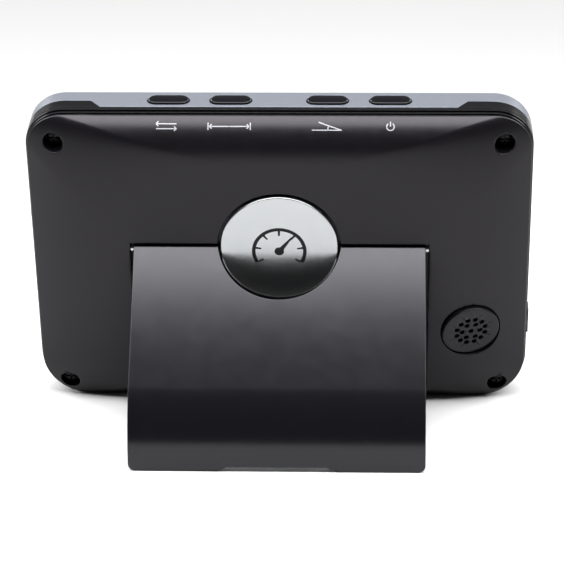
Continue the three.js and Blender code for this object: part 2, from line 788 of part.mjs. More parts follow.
function speakerGrille() {
  const { radius, thickness, edge, holeRadius } = SPEAKER;
  const disc = turned([
    [0, -thickness],
    [radius, -thickness],
    [radius, -edge],
    [radius - edge, 0],
    [0, 0],
  ], 32);
  const holes = [];
  for (const { count, circle, turn } of SPEAKER_HOLES) {
    for (let i = 0; i < count; i += 1) {
      const angle = ((i + turn) / count) * 2 * Math.PI;
      holes.push(post(circle * Math.cos(angle), circle * Math.sin(angle), holeRadius, -5, 2, 8));
    }
  }
  return cut(disc, ...holes);
}

function speakerDriver() {
  return turned([
    [0, -9.2],
    [4.5, -9.2],
    [4.5, -7.6],
    [9.2, -6.8],
    [9.2, -4.8],
    [8.4, -4.8],
    [7.6, -5.4],
    [3, -6],
    [0, -5.2],
  ]);
}

// ---------------------------------------------------------------- power

function batteryDoor() {
  const { halfWidth, bottom, top, outer, thickness } = DOOR;
  const plate = slab(roundedShape(-halfWidth, halfWidth, bottom, top, 1.2), outer - thickness, outer, 3);
  const grips = [-1, 0, 1].map((i) =>
    block(-7, 7, outer - 0.4, outer + 1, bottom + 4.2 + 1.6 * i, bottom + 4.8 + 1.6 * i)
  );
  return cut(plate, ...grips);
}

// a cell along x with its button towards sign
function cell(z, sign) {
  const end = CELL_LENGTH - 0.8;
  const solid = turned([
    [0, 0],
    [CELL_RADIUS, 0],
    [CELL_RADIUS, end],
    [1.9, end],
    [1.9, CELL_LENGTH],
    [0, CELL_LENGTH],
  ], 20);
  const turn = new THREE.Matrix4().makeRotationZ(-sign * Math.PI / 2);
  const start = new THREE.Matrix4().makeTranslation(sign * (24.5 - CELL_LENGTH), CELL_Y, z);
  return transformed(solid, start.multiply(turn));
}

function cellSpring(z, sign) {
  const length = 4.2;
  const solid = turned([
    [0, 0],
    [3.6, 0],
    [3.6, 0.8],
    [2, length],
    [0, length],
  ], 16);
  const turn = new THREE.Matrix4().makeRotationZ(-sign * Math.PI / 2);
  const start = new THREE.Matrix4().makeTranslation(-sign * 25, CELL_Y, z);
  return transformed(solid, start.multiply(turn));
}

function cellContact(z, sign) {
  const xs = [sign * 24.75, sign * 25.1].sort((a, b) => a - b);
  return block(xs[0], xs[1], CELL_Y - 4, CELL_Y + 4, z - 4, z + 4);
}

function portSocket() {
  const shell = block(-75, -69.4, PORT.y - 1.4, PORT.y + 1.4, PORT.z - 3.7, PORT.z + 3.7);
  const mouth = block(-76, -71, PORT.y - 0.95, PORT.y + 0.95, PORT.z - 3.2, PORT.z + 3.2);
  return shell.subtract(mouth);
}

function portBoard() {
  return block(-74.6, -61, PORT.y - 2.7, PORT.y - 1.6, PORT.z - 7, PORT.z + 7);
}

// a soft flap with a plug that fills the slot behind it
function portFlap() {
  const face = -HALF_WIDTH - PORT.proud;
  const { y, z, halfLength, halfHeight } = PORT;
  const plate = block(face, face + 1.3, y - halfHeight, y + halfHeight, z - halfLength, z + halfLength);
  const plug = block(face + 1, face + 3, y - 1.2, y + 1.2, z - 2.2, z + 2.6);
  return plate.add(plug);
}

// ---------------------------------------------------------------- fasteners

function screw(x, z, seat, { head: headRadius, headHeight, shank: shankRadius, length }) {
  const head = post(x, z, headRadius, seat, seat + headHeight, 16);
  const shank = post(x, z, shankRadius, seat - length, seat + 0.1, 10);
  const arm = headRadius * 0.62;
  const slotFloor = seat + headHeight * 0.45;
  const cross = join(
    block(x - arm, x + arm, slotFloor, seat + 9, z - 0.3, z + 0.3),
    block(x - 0.3, x + 0.3, slotFloor, seat + 9, z - arm, z + arm)
  );
  return cut(join(head, shank), cross);
}

// ---------------------------------------------------------------- assembly

const speakerFrame = surfaceFrame(SPEAKER.x, SPEAKER.z, SPEAKER.slopeOut, SPEAKER.slopeDown);

function node(name, solid, finish) {
  const mesh = new THREE.Mesh(toGeometry(solid), finish);
  mesh.name = name;
  return mesh;
}

function buildCase() {
  const group = new THREE.Group();
  const { silver, black, cover, chrome, key: keyFinish, lens, lcd, white } = MATERIALS;
  const { board, chip, steel, cell: cellFinish, rubber } = MATERIALS;

  group.add(node("front_housing", frontHousing(), silver));
  group.add(node("display_lens", displayLens(), lens));
  group.add(node("display_mask", displayMask(), black));
  group.add(node("lcd_panel", lcdPanel(), lcd));
  group.add(node("backlight", backlight(), white));
  group.add(node("mid_frame", midFrame(), black));
  group.add(node("rear_cover", rearCover(), cover));
  group.add(node("emblem_disc", emblem(), chrome));

  for (const { name, x } of KEYS) {
    group.add(node(name, key(x), keyFinish));
    group.add(node(name.replace("key", "switch"), tactSwitch(x), chip));
  }
  group.add(node("key_board", keyBoard(), board));
  group.add(node("main_board", mainBoard(), board));
  group.add(node("processor", processor(), chip));
  group.add(node("radar_board", radarBoard(), board));
  group.add(node("radar_antenna", radarAntenna(), steel));
  group.add(node("radar_shield", radarShield(), steel));

  group.add(node("battery_door", batteryDoor(), cover));
  for (let i = 0; i < 3; i += 1) {
    const z = (BAY.bottom + BAY.top) / 2 + (1 - i) * CELL_PITCH;
    const sign = i % 2 === 0 ? 1 : -1;
    group.add(node(`cell_${i + 1}`, cell(z, sign), cellFinish));
    group.add(node(`cell_spring_${i + 1}`, cellSpring(z, sign), steel));
    group.add(node(`cell_contact_${i + 1}`, cellContact(z, sign), steel));
  }

  group.add(node("port_board", portBoard(), board));
  group.add(node("port_socket", portSocket(), steel));
  group.add(node("port_flap", portFlap(), rubber));

  SCREW_POSTS.forEach(([x, z], i) => {
    const solid = screw(x, z, COUNTERBORE_FLOOR + 0.2, CASE_SCREW);
    group.add(node(`case_screw_${i + 1}`, solid, steel));
  });
  BOARD_SCREWS.forEach(([x, z], i) => {
    const solid = screw(x, z, BOARD_REAR + 0.2, BOARD_SCREW);
    group.add(node(`board_screw_${i + 1}`, solid, steel));
  });
  group.add(node("hinge_pin_left", hingePin(-1), steel));
  group.add(node("hinge_pin_right", hingePin(1), steel));
  return group;
}

// the speaker's pieces lie square to the crowned surface
function buildSpeaker() {
  const group = new THREE.Group();
  group.applyMatrix4(speakerFrame);
  group.add(node("speaker_grille", speakerGrille(), MATERIALS.cover));
  group.add(node("speaker_driver", speakerDriver(), MATERIALS.steel));
  return group;
}

// the stand hangs in a pivot group that is turned by its opening angle
function buildStand() {
  const pivot = new THREE.Group();
  pivot.position.set(0, STAND.axisY, STAND.axisZ);
  pivot.rotation.x = STAND.openAngle;
  pivot.updateMatrix();
  const toHinge = new THREE.Matrix4().makeTranslation(0, -STAND.axisY, -STAND.axisZ);
  const world = caseTurn.clone().multiply(pivot.matrix).multiply(toHinge);
  const mesh = node("stand", stand(world), MATERIALS.stand);
  mesh.position.set(0, -STAND.axisY, -STAND.axisZ);
  pivot.add(mesh);
  return pivot;
}

function buildMonitor() {
  const leaned = new THREE.Group();
  leaned.rotation.x = -LEAN;
  leaned.add(buildCase(), buildSpeaker(), buildStand());

  const monitor = new THREE.Group();
  monitor.add(leaned);
  monitor.updateMatrixWorld(true);
  const box = new THREE.Box3().setFromObject(monitor, true);
  const centre = box.getCenter(new THREE.Vector3());
  leaned.position.set(-centre.x, -centre.y, -box.min.z);
  monitor.updateMatrixWorld(true);
  return monitor;
}

export default buildMonitor();
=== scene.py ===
"""Looks for a portable radar speed monitor: a slim tabletop case seen from behind, on its
fold-out stand. The pieces are drawn in millimetres in the case's own frame and then placed
in the row frame, in metres: x to the right seen from the front, y to the rear, z up the case,
with the origin at the centre of the round emblem's face."""

import json
import math

import bmesh
import bpy
from mathutils import Matrix, Vector


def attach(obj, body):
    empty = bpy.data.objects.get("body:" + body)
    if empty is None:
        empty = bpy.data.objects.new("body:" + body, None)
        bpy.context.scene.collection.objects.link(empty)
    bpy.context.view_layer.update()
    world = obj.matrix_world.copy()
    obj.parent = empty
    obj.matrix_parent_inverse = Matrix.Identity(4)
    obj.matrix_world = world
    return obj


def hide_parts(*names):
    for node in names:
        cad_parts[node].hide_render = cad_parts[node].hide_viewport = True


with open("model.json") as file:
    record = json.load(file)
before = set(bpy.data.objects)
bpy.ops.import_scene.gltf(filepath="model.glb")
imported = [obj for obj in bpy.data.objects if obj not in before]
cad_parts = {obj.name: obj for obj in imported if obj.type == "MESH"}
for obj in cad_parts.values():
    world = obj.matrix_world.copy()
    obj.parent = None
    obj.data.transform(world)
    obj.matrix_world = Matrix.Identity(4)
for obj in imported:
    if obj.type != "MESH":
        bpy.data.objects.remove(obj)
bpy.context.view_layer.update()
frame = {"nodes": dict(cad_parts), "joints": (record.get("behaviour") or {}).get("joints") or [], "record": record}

# ---------------------------------------------------------------- driving dimensions, in mm

MM = 0.001
GAP = 0.3
HALF_WIDTH = 78.0
TOP = 42.6
BOTTOM = -62.1
TOP_CORNER_RADIUS = 12.4
LOW_CORNER_RADIUS = 15.5
WALL = 2.2

FRONT_FACE = -24.0
HOUSING_REAR = -13.4
FRAME_FRONT = -13.1
FRAME_REAR = -9.9
COVER_FRONT = -9.6
COVER_REAR = -0.8

COVER_INSET = 0.7
CROWN_FRONT = -9.0
CROWN_DROP = COVER_REAR - CROWN_FRONT
SIDE_RUN, TOP_RUN, BOTTOM_RUN = 31.3, 13.6, 17.8
CORNER_GROWTH = 19.0

EMBLEM_RADIUS = 18.2
EMBLEM_THICKNESS = 1.9
EMBLEM_SEAT_RADIUS = 19.0
PEDESTAL_RADIUS = EMBLEM_RADIUS - 0.6
EMBLEM_RIM = 0.45
DISH_RADIUS, DISH_HALF_SLOPE, DISH_DEPTH = 13.4, 0.16, 0.13

STAND_HALF_WIDTH = 45.25
STAND_THICKNESS = 2.4
BARREL_RADIUS = 1.6
HINGE_Y, HINGE_Z = -2.4, -1.6
BEND_Z = -47.4
BEND_RADIUS = 33.0
BEND_ANGLE = math.radians(46)
OPEN_ANGLE = math.radians(53.5)
CUT_OUT_RADIUS = 18.9
FOOT_CORNER = 2.2
NOTCH_HALF_WIDTH, NOTCH_SLOPE, NOTCH_HEIGHT = 15.2, 3.0, 1.4
RECESS_SIDE = STAND_HALF_WIDTH + 0.95
RECESS_FLOOR = COVER_REAR - STAND_THICKNESS - 0.4
PIN_BORE = 1.15
STAND_BORE, STAND_BORE_DEPTH = 1.05, 5.2

SCREW_POSTS = [(-68.8, 33.7), (68.8, 33.7), (-68.7, -55.1), (68.7, -55.1)]
COUNTERBORE_RADIUS = 3.1
TOWER_RADIUS = 3.6
COUNTERBORE_FLOOR = -11.4
SCREW_HEAD_RADIUS = 2.6
SHANK_BORE = 1.5
HOUSING_POST_RADIUS, HOUSING_POST_END = 3.4, -13.2

KEYS = {"unit": 33.8, "distance": 14.7, "angle": -14.9, "power": -34.1}
KEY_LENGTH, KEY_WIDTH = 12.6, 5.2
KEY_Y = -17.6
KEY_PROUD = 0.5

LENS_HALF_WIDTH, LENS_BOTTOM, LENS_TOP, LENS_RADIUS = 69.0, -52.4, 34.6, 8.0
LENS_THICKNESS = 1.4
WINDOW_HALF_WIDTH, WINDOW_BOTTOM, WINDOW_TOP, WINDOW_RADIUS = 46.0, -10.0, 27.0, 2.5
LEDGE_HALF_WIDTH, LEDGE_BOTTOM, LEDGE_TOP, LEDGE_RADIUS = 71.5, -55.0, 36.4, 9.0
LEDGE_INNER = -20.2

BAY_HALF_WIDTH, BAY_BOTTOM, BAY_TOP, BAY_FLOOR = 25.3, -53.4, -20.6, -17.7
DOOR_HALF_WIDTH, DOOR_BOTTOM, DOOR_TOP = 27.6, -54.4, -19.6
DOOR_OUTER, DOOR_THICKNESS = -4.4, 1.6

SPEAKER_X, SPEAKER_Z = -59.9, -32.1
SPEAKER_RADIUS, SPEAKER_SEAT_RADIUS = 9.2, 9.55
SPEAKER_THICKNESS = 1.5
SPEAKER_MORE_OUT, SPEAKER_MORE_DOWN = 0.05, 0.12
SPEAKER_HOLE = 0.82
SPEAKER_ROOM_RADIUS = 7.6
# circles of holes in the speaker's face, each with its count, radius and turn in holes
SPEAKER_CIRCLES = [(1, 0.0, 0.0), (6, 2.85, 0.0), (12, 4.7, 0.5)]

PORT_Y, PORT_Z = -16.3, -35.8
PORT_HALF_LENGTH, PORT_HALF_HEIGHT, PORT_PROUD = 4.6, 2.5, 0.5

# the dark frame's steps, each with its rear station and inset
FRAME_RIBS = [(-12.7, 0.9), (-11.5, 0.1), (-11.0, 0.9), (-10.2, 0.45), (FRAME_REAR, 0.95)]
BUMPER_FRONT = -17.0
BUMPER_START, BUMPER_END = 54.0, 57.8
BUMPER_DROP, BUMPER_SLOPE, BUMPER_DEPTH = 20.0, 3.8, 1.1
FRAME_WALL = 3.4

ARC_STEPS = 20
CROWN_STEPS = 36

# ---------------------------------------------------------------- the case's frame

joints = {joint["name"]: joint for joint in frame["joints"]}
UP = -Vector(joints["power_press"]["axis"]).normalized()
REAR = Vector(joints["door_lift"]["axis"]).normalized()
RIGHT = REAR.cross(UP)
HINGE = Vector(joints["stand_hinge"]["pos_m"]) / MM
ORIGIN = HINGE - HINGE_Y * REAR - HINGE_Z * UP

# from the case's frame to the row frame, both in millimetres
CASE = Matrix.Translation(ORIGIN) @ Matrix((RIGHT, REAR, UP)).transposed().to_4x4()
TO_METRES = Matrix.Scale(MM, 4)
HINGE_PLACE = Matrix.Translation((0, HINGE_Y, HINGE_Z))
OPENED = HINGE_PLACE @ Matrix.Rotation(OPEN_ANGLE, 4, "X") @ HINGE_PLACE.inverted()


# ---------------------------------------------------------------- outlines


def arc(cx, cz, radius, start, end, steps):
    """Points of an arc from one angle to another, in degrees, both ends included."""
    points = []
    for i in range(steps + 1):
        angle = math.radians(start + (end - start) * i / steps)
        points.append((cx + radius * math.cos(angle), cz + radius * math.sin(angle)))
    return points


def rounded(left, right, bottom, top, radius, steps=ARC_STEPS, straights=1, low_radius=None):
    """A rounded rectangle, each straight side cut into a number of equal stretches."""
    low = low_radius or radius
    corners = [
        arc(right - radius, top - radius, radius, 0, 90, steps),
        arc(left + radius, top - radius, radius, 90, 180, steps),
        arc(left + low, bottom + low, low, 180, 270, steps),
        arc(right - low, bottom + low, low, 270, 360, steps),
    ]
    points = []
    for corner, following in zip(corners, corners[1:] + corners[:1]):
        points += corner
        (x0, z0), (x1, z1) = corner[-1], following[0]
        for i in range(1, straights):
            share = i / straights
            points.append((x0 + (x1 - x0) * share, z0 + (z1 - z0) * share))
    return points


def circle(cx, cz, radius, steps=64):
    return arc(cx, cz, radius, 0, 360 - 360 / steps, steps - 1)


def pill(cx, cz, length, width, steps=16):
    """A rectangle with round ends."""
    half, reach = width / 2, (length - width) / 2
    return arc(cx + reach, cz, half, -90, 90, steps) + arc(cx - reach, cz, half, 90, 270, steps)


def case_outline(inset, straights=1):
    edges = (-HALF_WIDTH + inset, HALF_WIDTH - inset, BOTTOM + inset, TOP - inset)
    top_radius, low_radius = TOP_CORNER_RADIUS - inset, LOW_CORNER_RADIUS - inset
    return rounded(*edges, top_radius, straights=straights, low_radius=low_radius)


# ---------------------------------------------------------------- the crowned rear surface


def crown_inset(run, level):
    """How far an arc of this run has come in from the edge at a level of its rise."""
    drop = (1 - level) * CROWN_DROP
    radius = (run * run + CROWN_DROP * CROWN_DROP) / (2 * CROWN_DROP)
    return run - math.sqrt(2 * radius * drop - drop * drop)


def crown_edges(level, offset=0.0):
    """Left, right, bottom, top, upper and lower corner radius of the rear cover at a level."""
    side_inset = crown_inset(SIDE_RUN, level)
    side = COVER_INSET + side_inset + offset
    low = BOTTOM + COVER_INSET + crown_inset(BOTTOM_RUN, level) + offset
    high = TOP - COVER_INSET - crown_inset(TOP_RUN, level) - offset
    growth = CORNER_GROWTH * side_inset / SIDE_RUN - COVER_INSET - offset
    radii = (TOP_CORNER_RADIUS + growth, LOW_CORNER_RADIUS + growth)
    return -HALF_WIDTH + side, HALF_WIDTH - side, low, high, *radii


def crown_outline(level, offset, straights, lip=0.0):
    """The rear cover's outline at a level, pulled in by an offset and by a lip."""
    left, right, low, high, top_radius, low_radius = crown_edges(level, offset)
    edges = (left + lip, right - lip, low + lip, high - lip, top_radius - lip)
    return rounded(*edges, straights=straights, low_radius=low_radius - lip)


def outside_by(x, z, level):
    """How far a point lies outside the outline of a level, negative when inside."""
    left, right, bottom, top, top_radius, low_radius = crown_edges(level)
    radius = top_radius if z > (bottom + top) / 2 else low_radius
    dx = max(x - (right - radius), left + radius - x, 0)
    dz = max(z - (top - radius), bottom + radius - z, 0)
    return math.hypot(dx, dz) - radius


def surface_y(x, z):
    """The depth of the rear surface behind a point."""
    if outside_by(x, z, 1) <= 0:
        return COVER_REAR
    low, high = 0.0, 1.0
    for _ in range(40):
        middle = (low + high) / 2
        if outside_by(x, z, middle) > 0:
            high = middle
        else:
            low = middle
    return CROWN_FRONT + low * CROWN_DROP


def surface_frame(x, z, more_x, more_z):
    """A frame on the rear surface whose y axis is the outward normal, with slope added."""
    step = 4
    slope_x = (surface_y(x + step, z) - surface_y(x - step, z)) / (2 * step) + more_x
    slope_z = (surface_y(x, z + step) - surface_y(x, z - step)) / (2 * step) + more_z
    normal = Vector((-slope_x, 1, -slope_z))
    turn = Vector((0, 1, 0)).rotation_difference(normal).to_matrix().to_4x4()
    return Matrix.Translation((x, surface_y(x, z), z)) @ turn


SPEAKER_FRAME = surface_frame(SPEAKER_X, SPEAKER_Z, SPEAKER_MORE_OUT, SPEAKER_MORE_DOWN)


# ---------------------------------------------------------------- solids


def solid(name, vertices, faces):
    """A mesh object from points and faces, with its faces turned outward."""
    mesh = bpy.data.meshes.new(name)
    mesh.from_pydata([tuple(v) for v in vertices], [], faces)
    work = bmesh.new()
    work.from_mesh(mesh)
    bmesh.ops.recalc_face_normals(work, faces=work.faces)
    work.to_mesh(mesh)
    work.free()
    obj = bpy.data.objects.new(name, mesh)
    bpy.context.scene.collection.objects.link(obj)
    return obj


def loft(name, rings):
    """A closed body through rings of 3-D points that all have the same count."""
    count = len(rings[0])
    vertices = [point for ring in rings for point in ring]
    faces = []
    for level in range(len(rings) - 1):
        base = level * count
        for i in range(count):
            j = (i + 1) % count
            faces.append((base + i, base + j, base + count + j, base + count + i))
    faces.append(tuple(range(count)))
    faces.append(tuple(range(len(vertices) - count, len(vertices))))
    return solid(name, vertices, faces)


def at_y(outline, y):
    return [(x, y, z) for x, z in outline]


def slab(name, outline, front, rear):
    """An (x, z) outline that fills y from front to rear."""
    return loft(name, [at_y(outline, front), at_y(outline, rear)])


def side_slab(name, outline, x0, x1):
    """A (y, z) outline that fills x from x0 to x1."""
    return loft(name, [[(x, y, z) for y, z in outline] for x in (x0, x1)])


def upright(name, outline, low, high):
    """An (x, y) outline that fills z from low to high."""
    return loft(name, [[(x, y, z) for x, y in outline] for z in (low, high)])


def block(name, x0, x1, y0, y1, z0, z1):
    return slab(name, [(x0, z0), (x1, z0), (x1, z1), (x0, z1)], y0, y1)


def post(name, x, z, radius, front, rear, steps=48):
    return slab(name, circle(x, z, radius, steps), front, rear)


def bar(name, x0, x1, y, z, radius):
    return side_slab(name, circle(y, z, radius, 40), x0, x1)


def turned(name, profile, steps=96):
    """A body of revolution about y from (radius, y) pairs, its first and last on the axis."""
    vertices = [(0, profile[0][1], 0), (0, profile[-1][1], 0)]
    inner = profile[1:-1]
    for radius, y in inner:
        vertices += [(x, y, z) for x, z in circle(0, 0, radius, steps)]
    faces = []
    for i in range(steps):
        j = (i + 1) % steps
        faces.append((0, 2 + i, 2 + j))
        for level in range(len(inner) - 1):
            base = 2 + level * steps
            faces.append((base + i, base + j, base + steps + j, base + steps + i))
        last = 2 + (len(inner) - 1) * steps
        faces.append((1, last + j, last + i))
    return solid(name, vertices, faces)


def moved(obj, matrix):
    obj.data.transform(matrix)
    return obj


def bake(obj):
    """Applies the object's modifiers to its mesh."""
    graph = bpy.context.evaluated_depsgraph_get()
    old = obj.data
    obj.data = bpy.data.meshes.new_from_object(obj.evaluated_get(graph))
    obj.modifiers.clear()
    bpy.data.meshes.remove(old)
    return obj


def combined(operation, base, tools):
    """Joins, cuts or intersects the base with the tools, which are used up."""
    group = bpy.data.collections.new("tools")
    for tool in tools:
        group.objects.link(tool)
    modifier = base.modifiers.new(operation, "BOOLEAN")
    modifier.operation = operation
    modifier.operand_type = "COLLECTION"
    modifier.collection = group
    modifier.solver = "EXACT"
    bake(base)
    for tool in tools:
        bpy.data.objects.remove(tool)
    bpy.data.collections.remove(group)
    return base


def cut(base, *tools):
    return combined("DIFFERENCE", base, tools)


def join(base, *tools):
    return combined("UNION", base, tools)


def overlap(base, tool):
    return combined("INTERSECT", base, [tool])


def cleaned(obj):
    """Merges close points, removes faces with no area and cuts many-sided faces into triangles."""
    work = bmesh.new()
    work.from_mesh(obj.data)
    bmesh.ops.remove_doubles(work, verts=work.verts, dist=0.004)
    bmesh.ops.dissolve_degenerate(work, edges=work.edges, dist=0.004)
    many_sided = [face for face in work.faces if len(face.verts) > 4]
    bmesh.ops.triangulate(work, faces=many_sided, ngon_method="BEAUTY")
    work.to_mesh(obj.data)
    work.free()
    return obj


def finished(obj, body, material, replaced=(), bevel=0.25, segments=2, angle=32, place=CASE):
    """Places a piece in the row frame, rounds its edges, smooths it, gives it its material, hangs it on its body
    and hides the CAD nodes it replaces.
    """
    cleaned(obj)
    obj.data.transform(TO_METRES @ place)
    for polygon in obj.data.polygons:
        polygon.use_smooth = True
    if bevel:
        rounding = obj.modifiers.new("rounding", "BEVEL")
        rounding.width = bevel * MM
        rounding.segments = segments
        rounding.limit_method = "ANGLE"
        rounding.angle_limit = math.radians(angle)
        rounding.use_clamp_overlap = False
        rounding.miter_outer = "MITER_ARC"
    normals = obj.modifiers.new("normals", "WEIGHTED_NORMAL")
    normals.weight = 50
    normals.keep_sharp = True
    if not bevel:
        obj.data.set_sharp_from_angle(angle=math.radians(angle))
    bake(obj)
    obj.data.materials.clear()
    obj.data.materials.append(material)
    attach(obj, body)
    if replaced:
        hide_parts(*replaced)
    return obj


# ---------------------------------------------------------------- materials


class Look:
    """A node material with one principled shader and the patterns that vary it."""

    def __init__(self, name, color, roughness, metallic=0.0, **sockets):
        self.material = bpy.data.materials.new(name)
        self.material.use_nodes = True
        self.nodes = self.material.node_tree.nodes
        self.links = self.material.node_tree.links
        self.shader = self.nodes["Principled BSDF"]
        self.color = color
        self.shader.inputs["Base Color"].default_value = (*color, 1)
        self.shader.inputs["Roughness"].default_value = roughness
        self.shader.inputs["Metallic"].default_value = metallic
        for socket, value in sockets.items():
            self.shader.inputs[socket.replace("_", " ")].default_value = value
        self.place = self.nodes.new("ShaderNodeTexCoord")

    def noise(self, size, detail=2.0, stretch=(1, 1, 1)):
        """A noise pattern whose blobs are about this many millimetres across."""
        mapping = self.nodes.new("ShaderNodeMapping")
        mapping.inputs["Scale"].default_value = stretch
        texture = self.nodes.new("ShaderNodeTexNoise")
        texture.inputs["Scale"].default_value = 1 / (size * MM)
        texture.inputs["Detail"].default_value = detail
        self.links.new(self.place.outputs["Object"], mapping.inputs["Vector"])
        self.links.new(mapping.outputs["Vector"], texture.inputs["Vector"])
        return texture.outputs["Fac"]

    def flakes(self, size):
        """A pattern of cells about this many millimetres across, each with its own value."""
        texture = self.nodes.new("ShaderNodeTexVoronoi")
        texture.inputs["Scale"].default_value = 1 / (size * MM)
        self.links.new(self.place.outputs["Object"], texture.inputs["Vector"])
        split = self.nodes.new("ShaderNodeSeparateColor")
        self.links.new(texture.outputs["Color"], split.inputs["Color"])
        return split.outputs["Red"]

    def ranged(self, value, low, high, from_low=0.3, from_high=0.7):
        node = self.nodes.new("ShaderNodeMapRange")
        node.inputs["From Min"].default_value = from_low
        node.inputs["From Max"].default_value = from_high
        node.inputs["To Min"].default_value = low
        node.inputs["To Max"].default_value = high
        self.links.new(value, node.inputs["Value"])
        return node.outputs["Result"]

    def vary_color(self, value, darker, lighter):
        """Mixes two strengths of the base colour by a pattern."""
        mix = self.nodes.new("ShaderNodeMix")
        mix.data_type = "RGBA"
        mix.inputs["A"].default_value = (*(c * darker for c in self.color), 1)
        mix.inputs["B"].default_value = (*(c * lighter for c in self.color), 1)
        self.links.new(self.ranged(value, 0, 1), mix.inputs["Factor"])
        self.links.new(mix.outputs["Result"], self.shader.inputs["Base Color"])
        return self

    def mix_color(self, value, other, from_low=0.45, from_high=0.55):
        """Mixes the base colour with another one by a pattern."""
        mix = self.nodes.new("ShaderNodeMix")
        mix.data_type = "RGBA"
        mix.inputs["A"].default_value = (*self.color, 1)
        mix.inputs["B"].default_value = (*other, 1)
        self.links.new(self.ranged(value, 0, 1, from_low, from_high), mix.inputs["Factor"])
        self.links.new(mix.outputs["Result"], self.shader.inputs["Base Color"])
        return self

    def vary_roughness(self, value, low, high):
        self.links.new(self.ranged(value, low, high), self.shader.inputs["Roughness"])
        return self

    def bump(self, value, depth, strength=1.0):
        """Relief from a pattern, its depth in millimetres."""
        node = self.nodes.new("ShaderNodeBump")
        node.inputs["Strength"].default_value = strength
        node.inputs["Distance"].default_value = depth * MM
        self.links.new(value, node.inputs["Height"])
        self.links.new(node.outputs["Normal"], self.shader.inputs["Normal"])
        return self


def moulded(name, color, roughness, grain=0.25, depth=0.004, spread=0.05, **sockets):
    """Moulded plastic: faint mottling, uneven sheen and a fine grain."""
    look = Look(name, color, roughness, **sockets)
    look.vary_color(look.noise(7, 3), 0.93, 1.07)
    look.vary_roughness(look.noise(2.5, 3), roughness - spread, roughness + spread)
    look.bump(look.noise(grain, 1), depth)
    return look.material


def dark_cover():
    return moulded(
        "dark_cover", (0.0022, 0.0019, 0.0026), 0.32, 0.22, 0.0015, 0.025, Specular_IOR_Level=0.23,
        Specular_Tint=(0.97, 0.93, 1.0, 1.0)
    )


def black_frame():
    return moulded("black_frame", (0.002, 0.002, 0.0026), 0.2, 0.2, 0.002, Specular_IOR_Level=0.2)


def satin_stand():
    look = Look(
        "satin_stand", (0.0034, 0.0034, 0.0044), 0.18, Specular_IOR_Level=0.33,
        Specular_Tint=(0.96, 0.94, 1.0, 1.0)
    )
    look.vary_color(look.noise(9, 3), 0.94, 1.06)
    look.vary_roughness(look.noise(4, 3), 0.17, 0.195)
    look.bump(look.noise(0.18, 1), 0.0012)
    return look.material


def silver_housing():
    look = Look("silver_housing", (0.125, 0.134, 0.156), 0.38, 0.45, Specular_IOR_Level=0.5)
    look.vary_color(look.flakes(0.12), 0.9, 1.1)
    look.vary_roughness(look.noise(1.2, 3), 0.3, 0.38)
    look.bump(look.noise(0.15, 1), 0.001)
    return look.material


def chrome_badge():
    look = Look("chrome_badge", (0.345, 0.355, 0.362), 0.26, 1.0)
    look.vary_color(look.noise(5, 3), 0.98, 1.02)
    look.vary_roughness(look.noise(1.5, 4), 0.24, 0.27)
    look.bump(look.noise(0.12, 2), 0.0003)
    return look.material


def badge_mark():
    look = Look("badge_mark", (0.004, 0.004, 0.005), 0.3, Specular_IOR_Level=0.15)
    look.vary_roughness(look.noise(0.8, 3), 0.26, 0.36)
    look.bump(look.noise(0.1, 2), 0.001)
    return look.material


def key_plastic():
    return moulded("key_plastic", (0.0022, 0.0022, 0.0032), 0.2, 0.16, 0.002, Specular_IOR_Level=0.13)


def flap_rubber():
    return moulded("flap_rubber", (0.012, 0.012, 0.013), 0.62, 0.15, 0.006, Specular_IOR_Level=0.3)


def print_ink():
    look = Look("print_ink", (0.2, 0.2, 0.22), 0.5)
    look.vary_color(look.noise(0.3, 3), 0.9, 1.08)
    look.vary_roughness(look.noise(0.5, 2), 0.42, 0.56)
    return look.material


def clear_lens():
    look = Look("clear_lens", (0.5, 0.52, 0.54), 0.03, IOR=1.49, Transmission_Weight=1.0)
    look.vary_roughness(look.noise(12, 3), 0.015, 0.04)
    look.bump(look.noise(20, 1), 0.001, 0.3)
    return look.material


def black_film():
    look = Look("black_film", (0.004, 0.004, 0.005), 0.24)
    look.vary_roughness(look.noise(6, 2), 0.23, 0.25)
    look.bump(look.noise(0.2, 1), 0.0002)
    return look.material


def lcd_glass():
    look = Look("lcd_glass", (0.33, 0.37, 0.29), 0.22)
    look.vary_color(look.noise(14, 2), 0.96, 1.05)
    look.vary_roughness(look.noise(2, 2), 0.18, 0.26)
    look.bump(look.noise(0.3, 1), 0.001)
    return look.material


def lcd_ink():
    look = Look("lcd_ink", (0.012, 0.014, 0.016), 0.3)
    look.vary_color(look.noise(2, 2), 0.8, 1.3)
    look.vary_roughness(look.noise(1, 2), 0.25, 0.36)
    return look.material


def white_guide():
    look = Look("white_guide", (0.75, 0.77, 0.76), 0.45, Subsurface_Weight=0.2)
    look.vary_color(look.noise(5, 3), 0.96, 1.02)
    look.vary_roughness(look.noise(1, 2), 0.4, 0.52)
    look.bump(look.noise(0.3, 1), 0.002)
    return look.material


def circuit_board():
    look = Look("circuit_board", (0.012, 0.085, 0.035), 0.32, Coat_Weight=0.3)
    look.mix_color(look.noise(1.6, 0, (1, 1, 0.15)), (0.02, 0.14, 0.05), 0.5, 0.53)
    look.vary_roughness(look.noise(0.8, 2), 0.26, 0.4)
    look.bump(look.noise(1.6, 0, (1, 1, 0.15)), 0.02)
    return look.material


def switch_black():
    return moulded("switch_black", (0.01, 0.01, 0.011), 0.4, 0.2, 0.003)


def copper():
    look = Look("copper", (0.72, 0.4, 0.24), 0.28, 1.0)
    look.vary_color(look.noise(0.9, 3), 0.85, 1.1)
    look.vary_roughness(look.noise(0.4, 3), 0.22, 0.4)
    look.bump(look.noise(0.1, 2), 0.001)
    return look.material


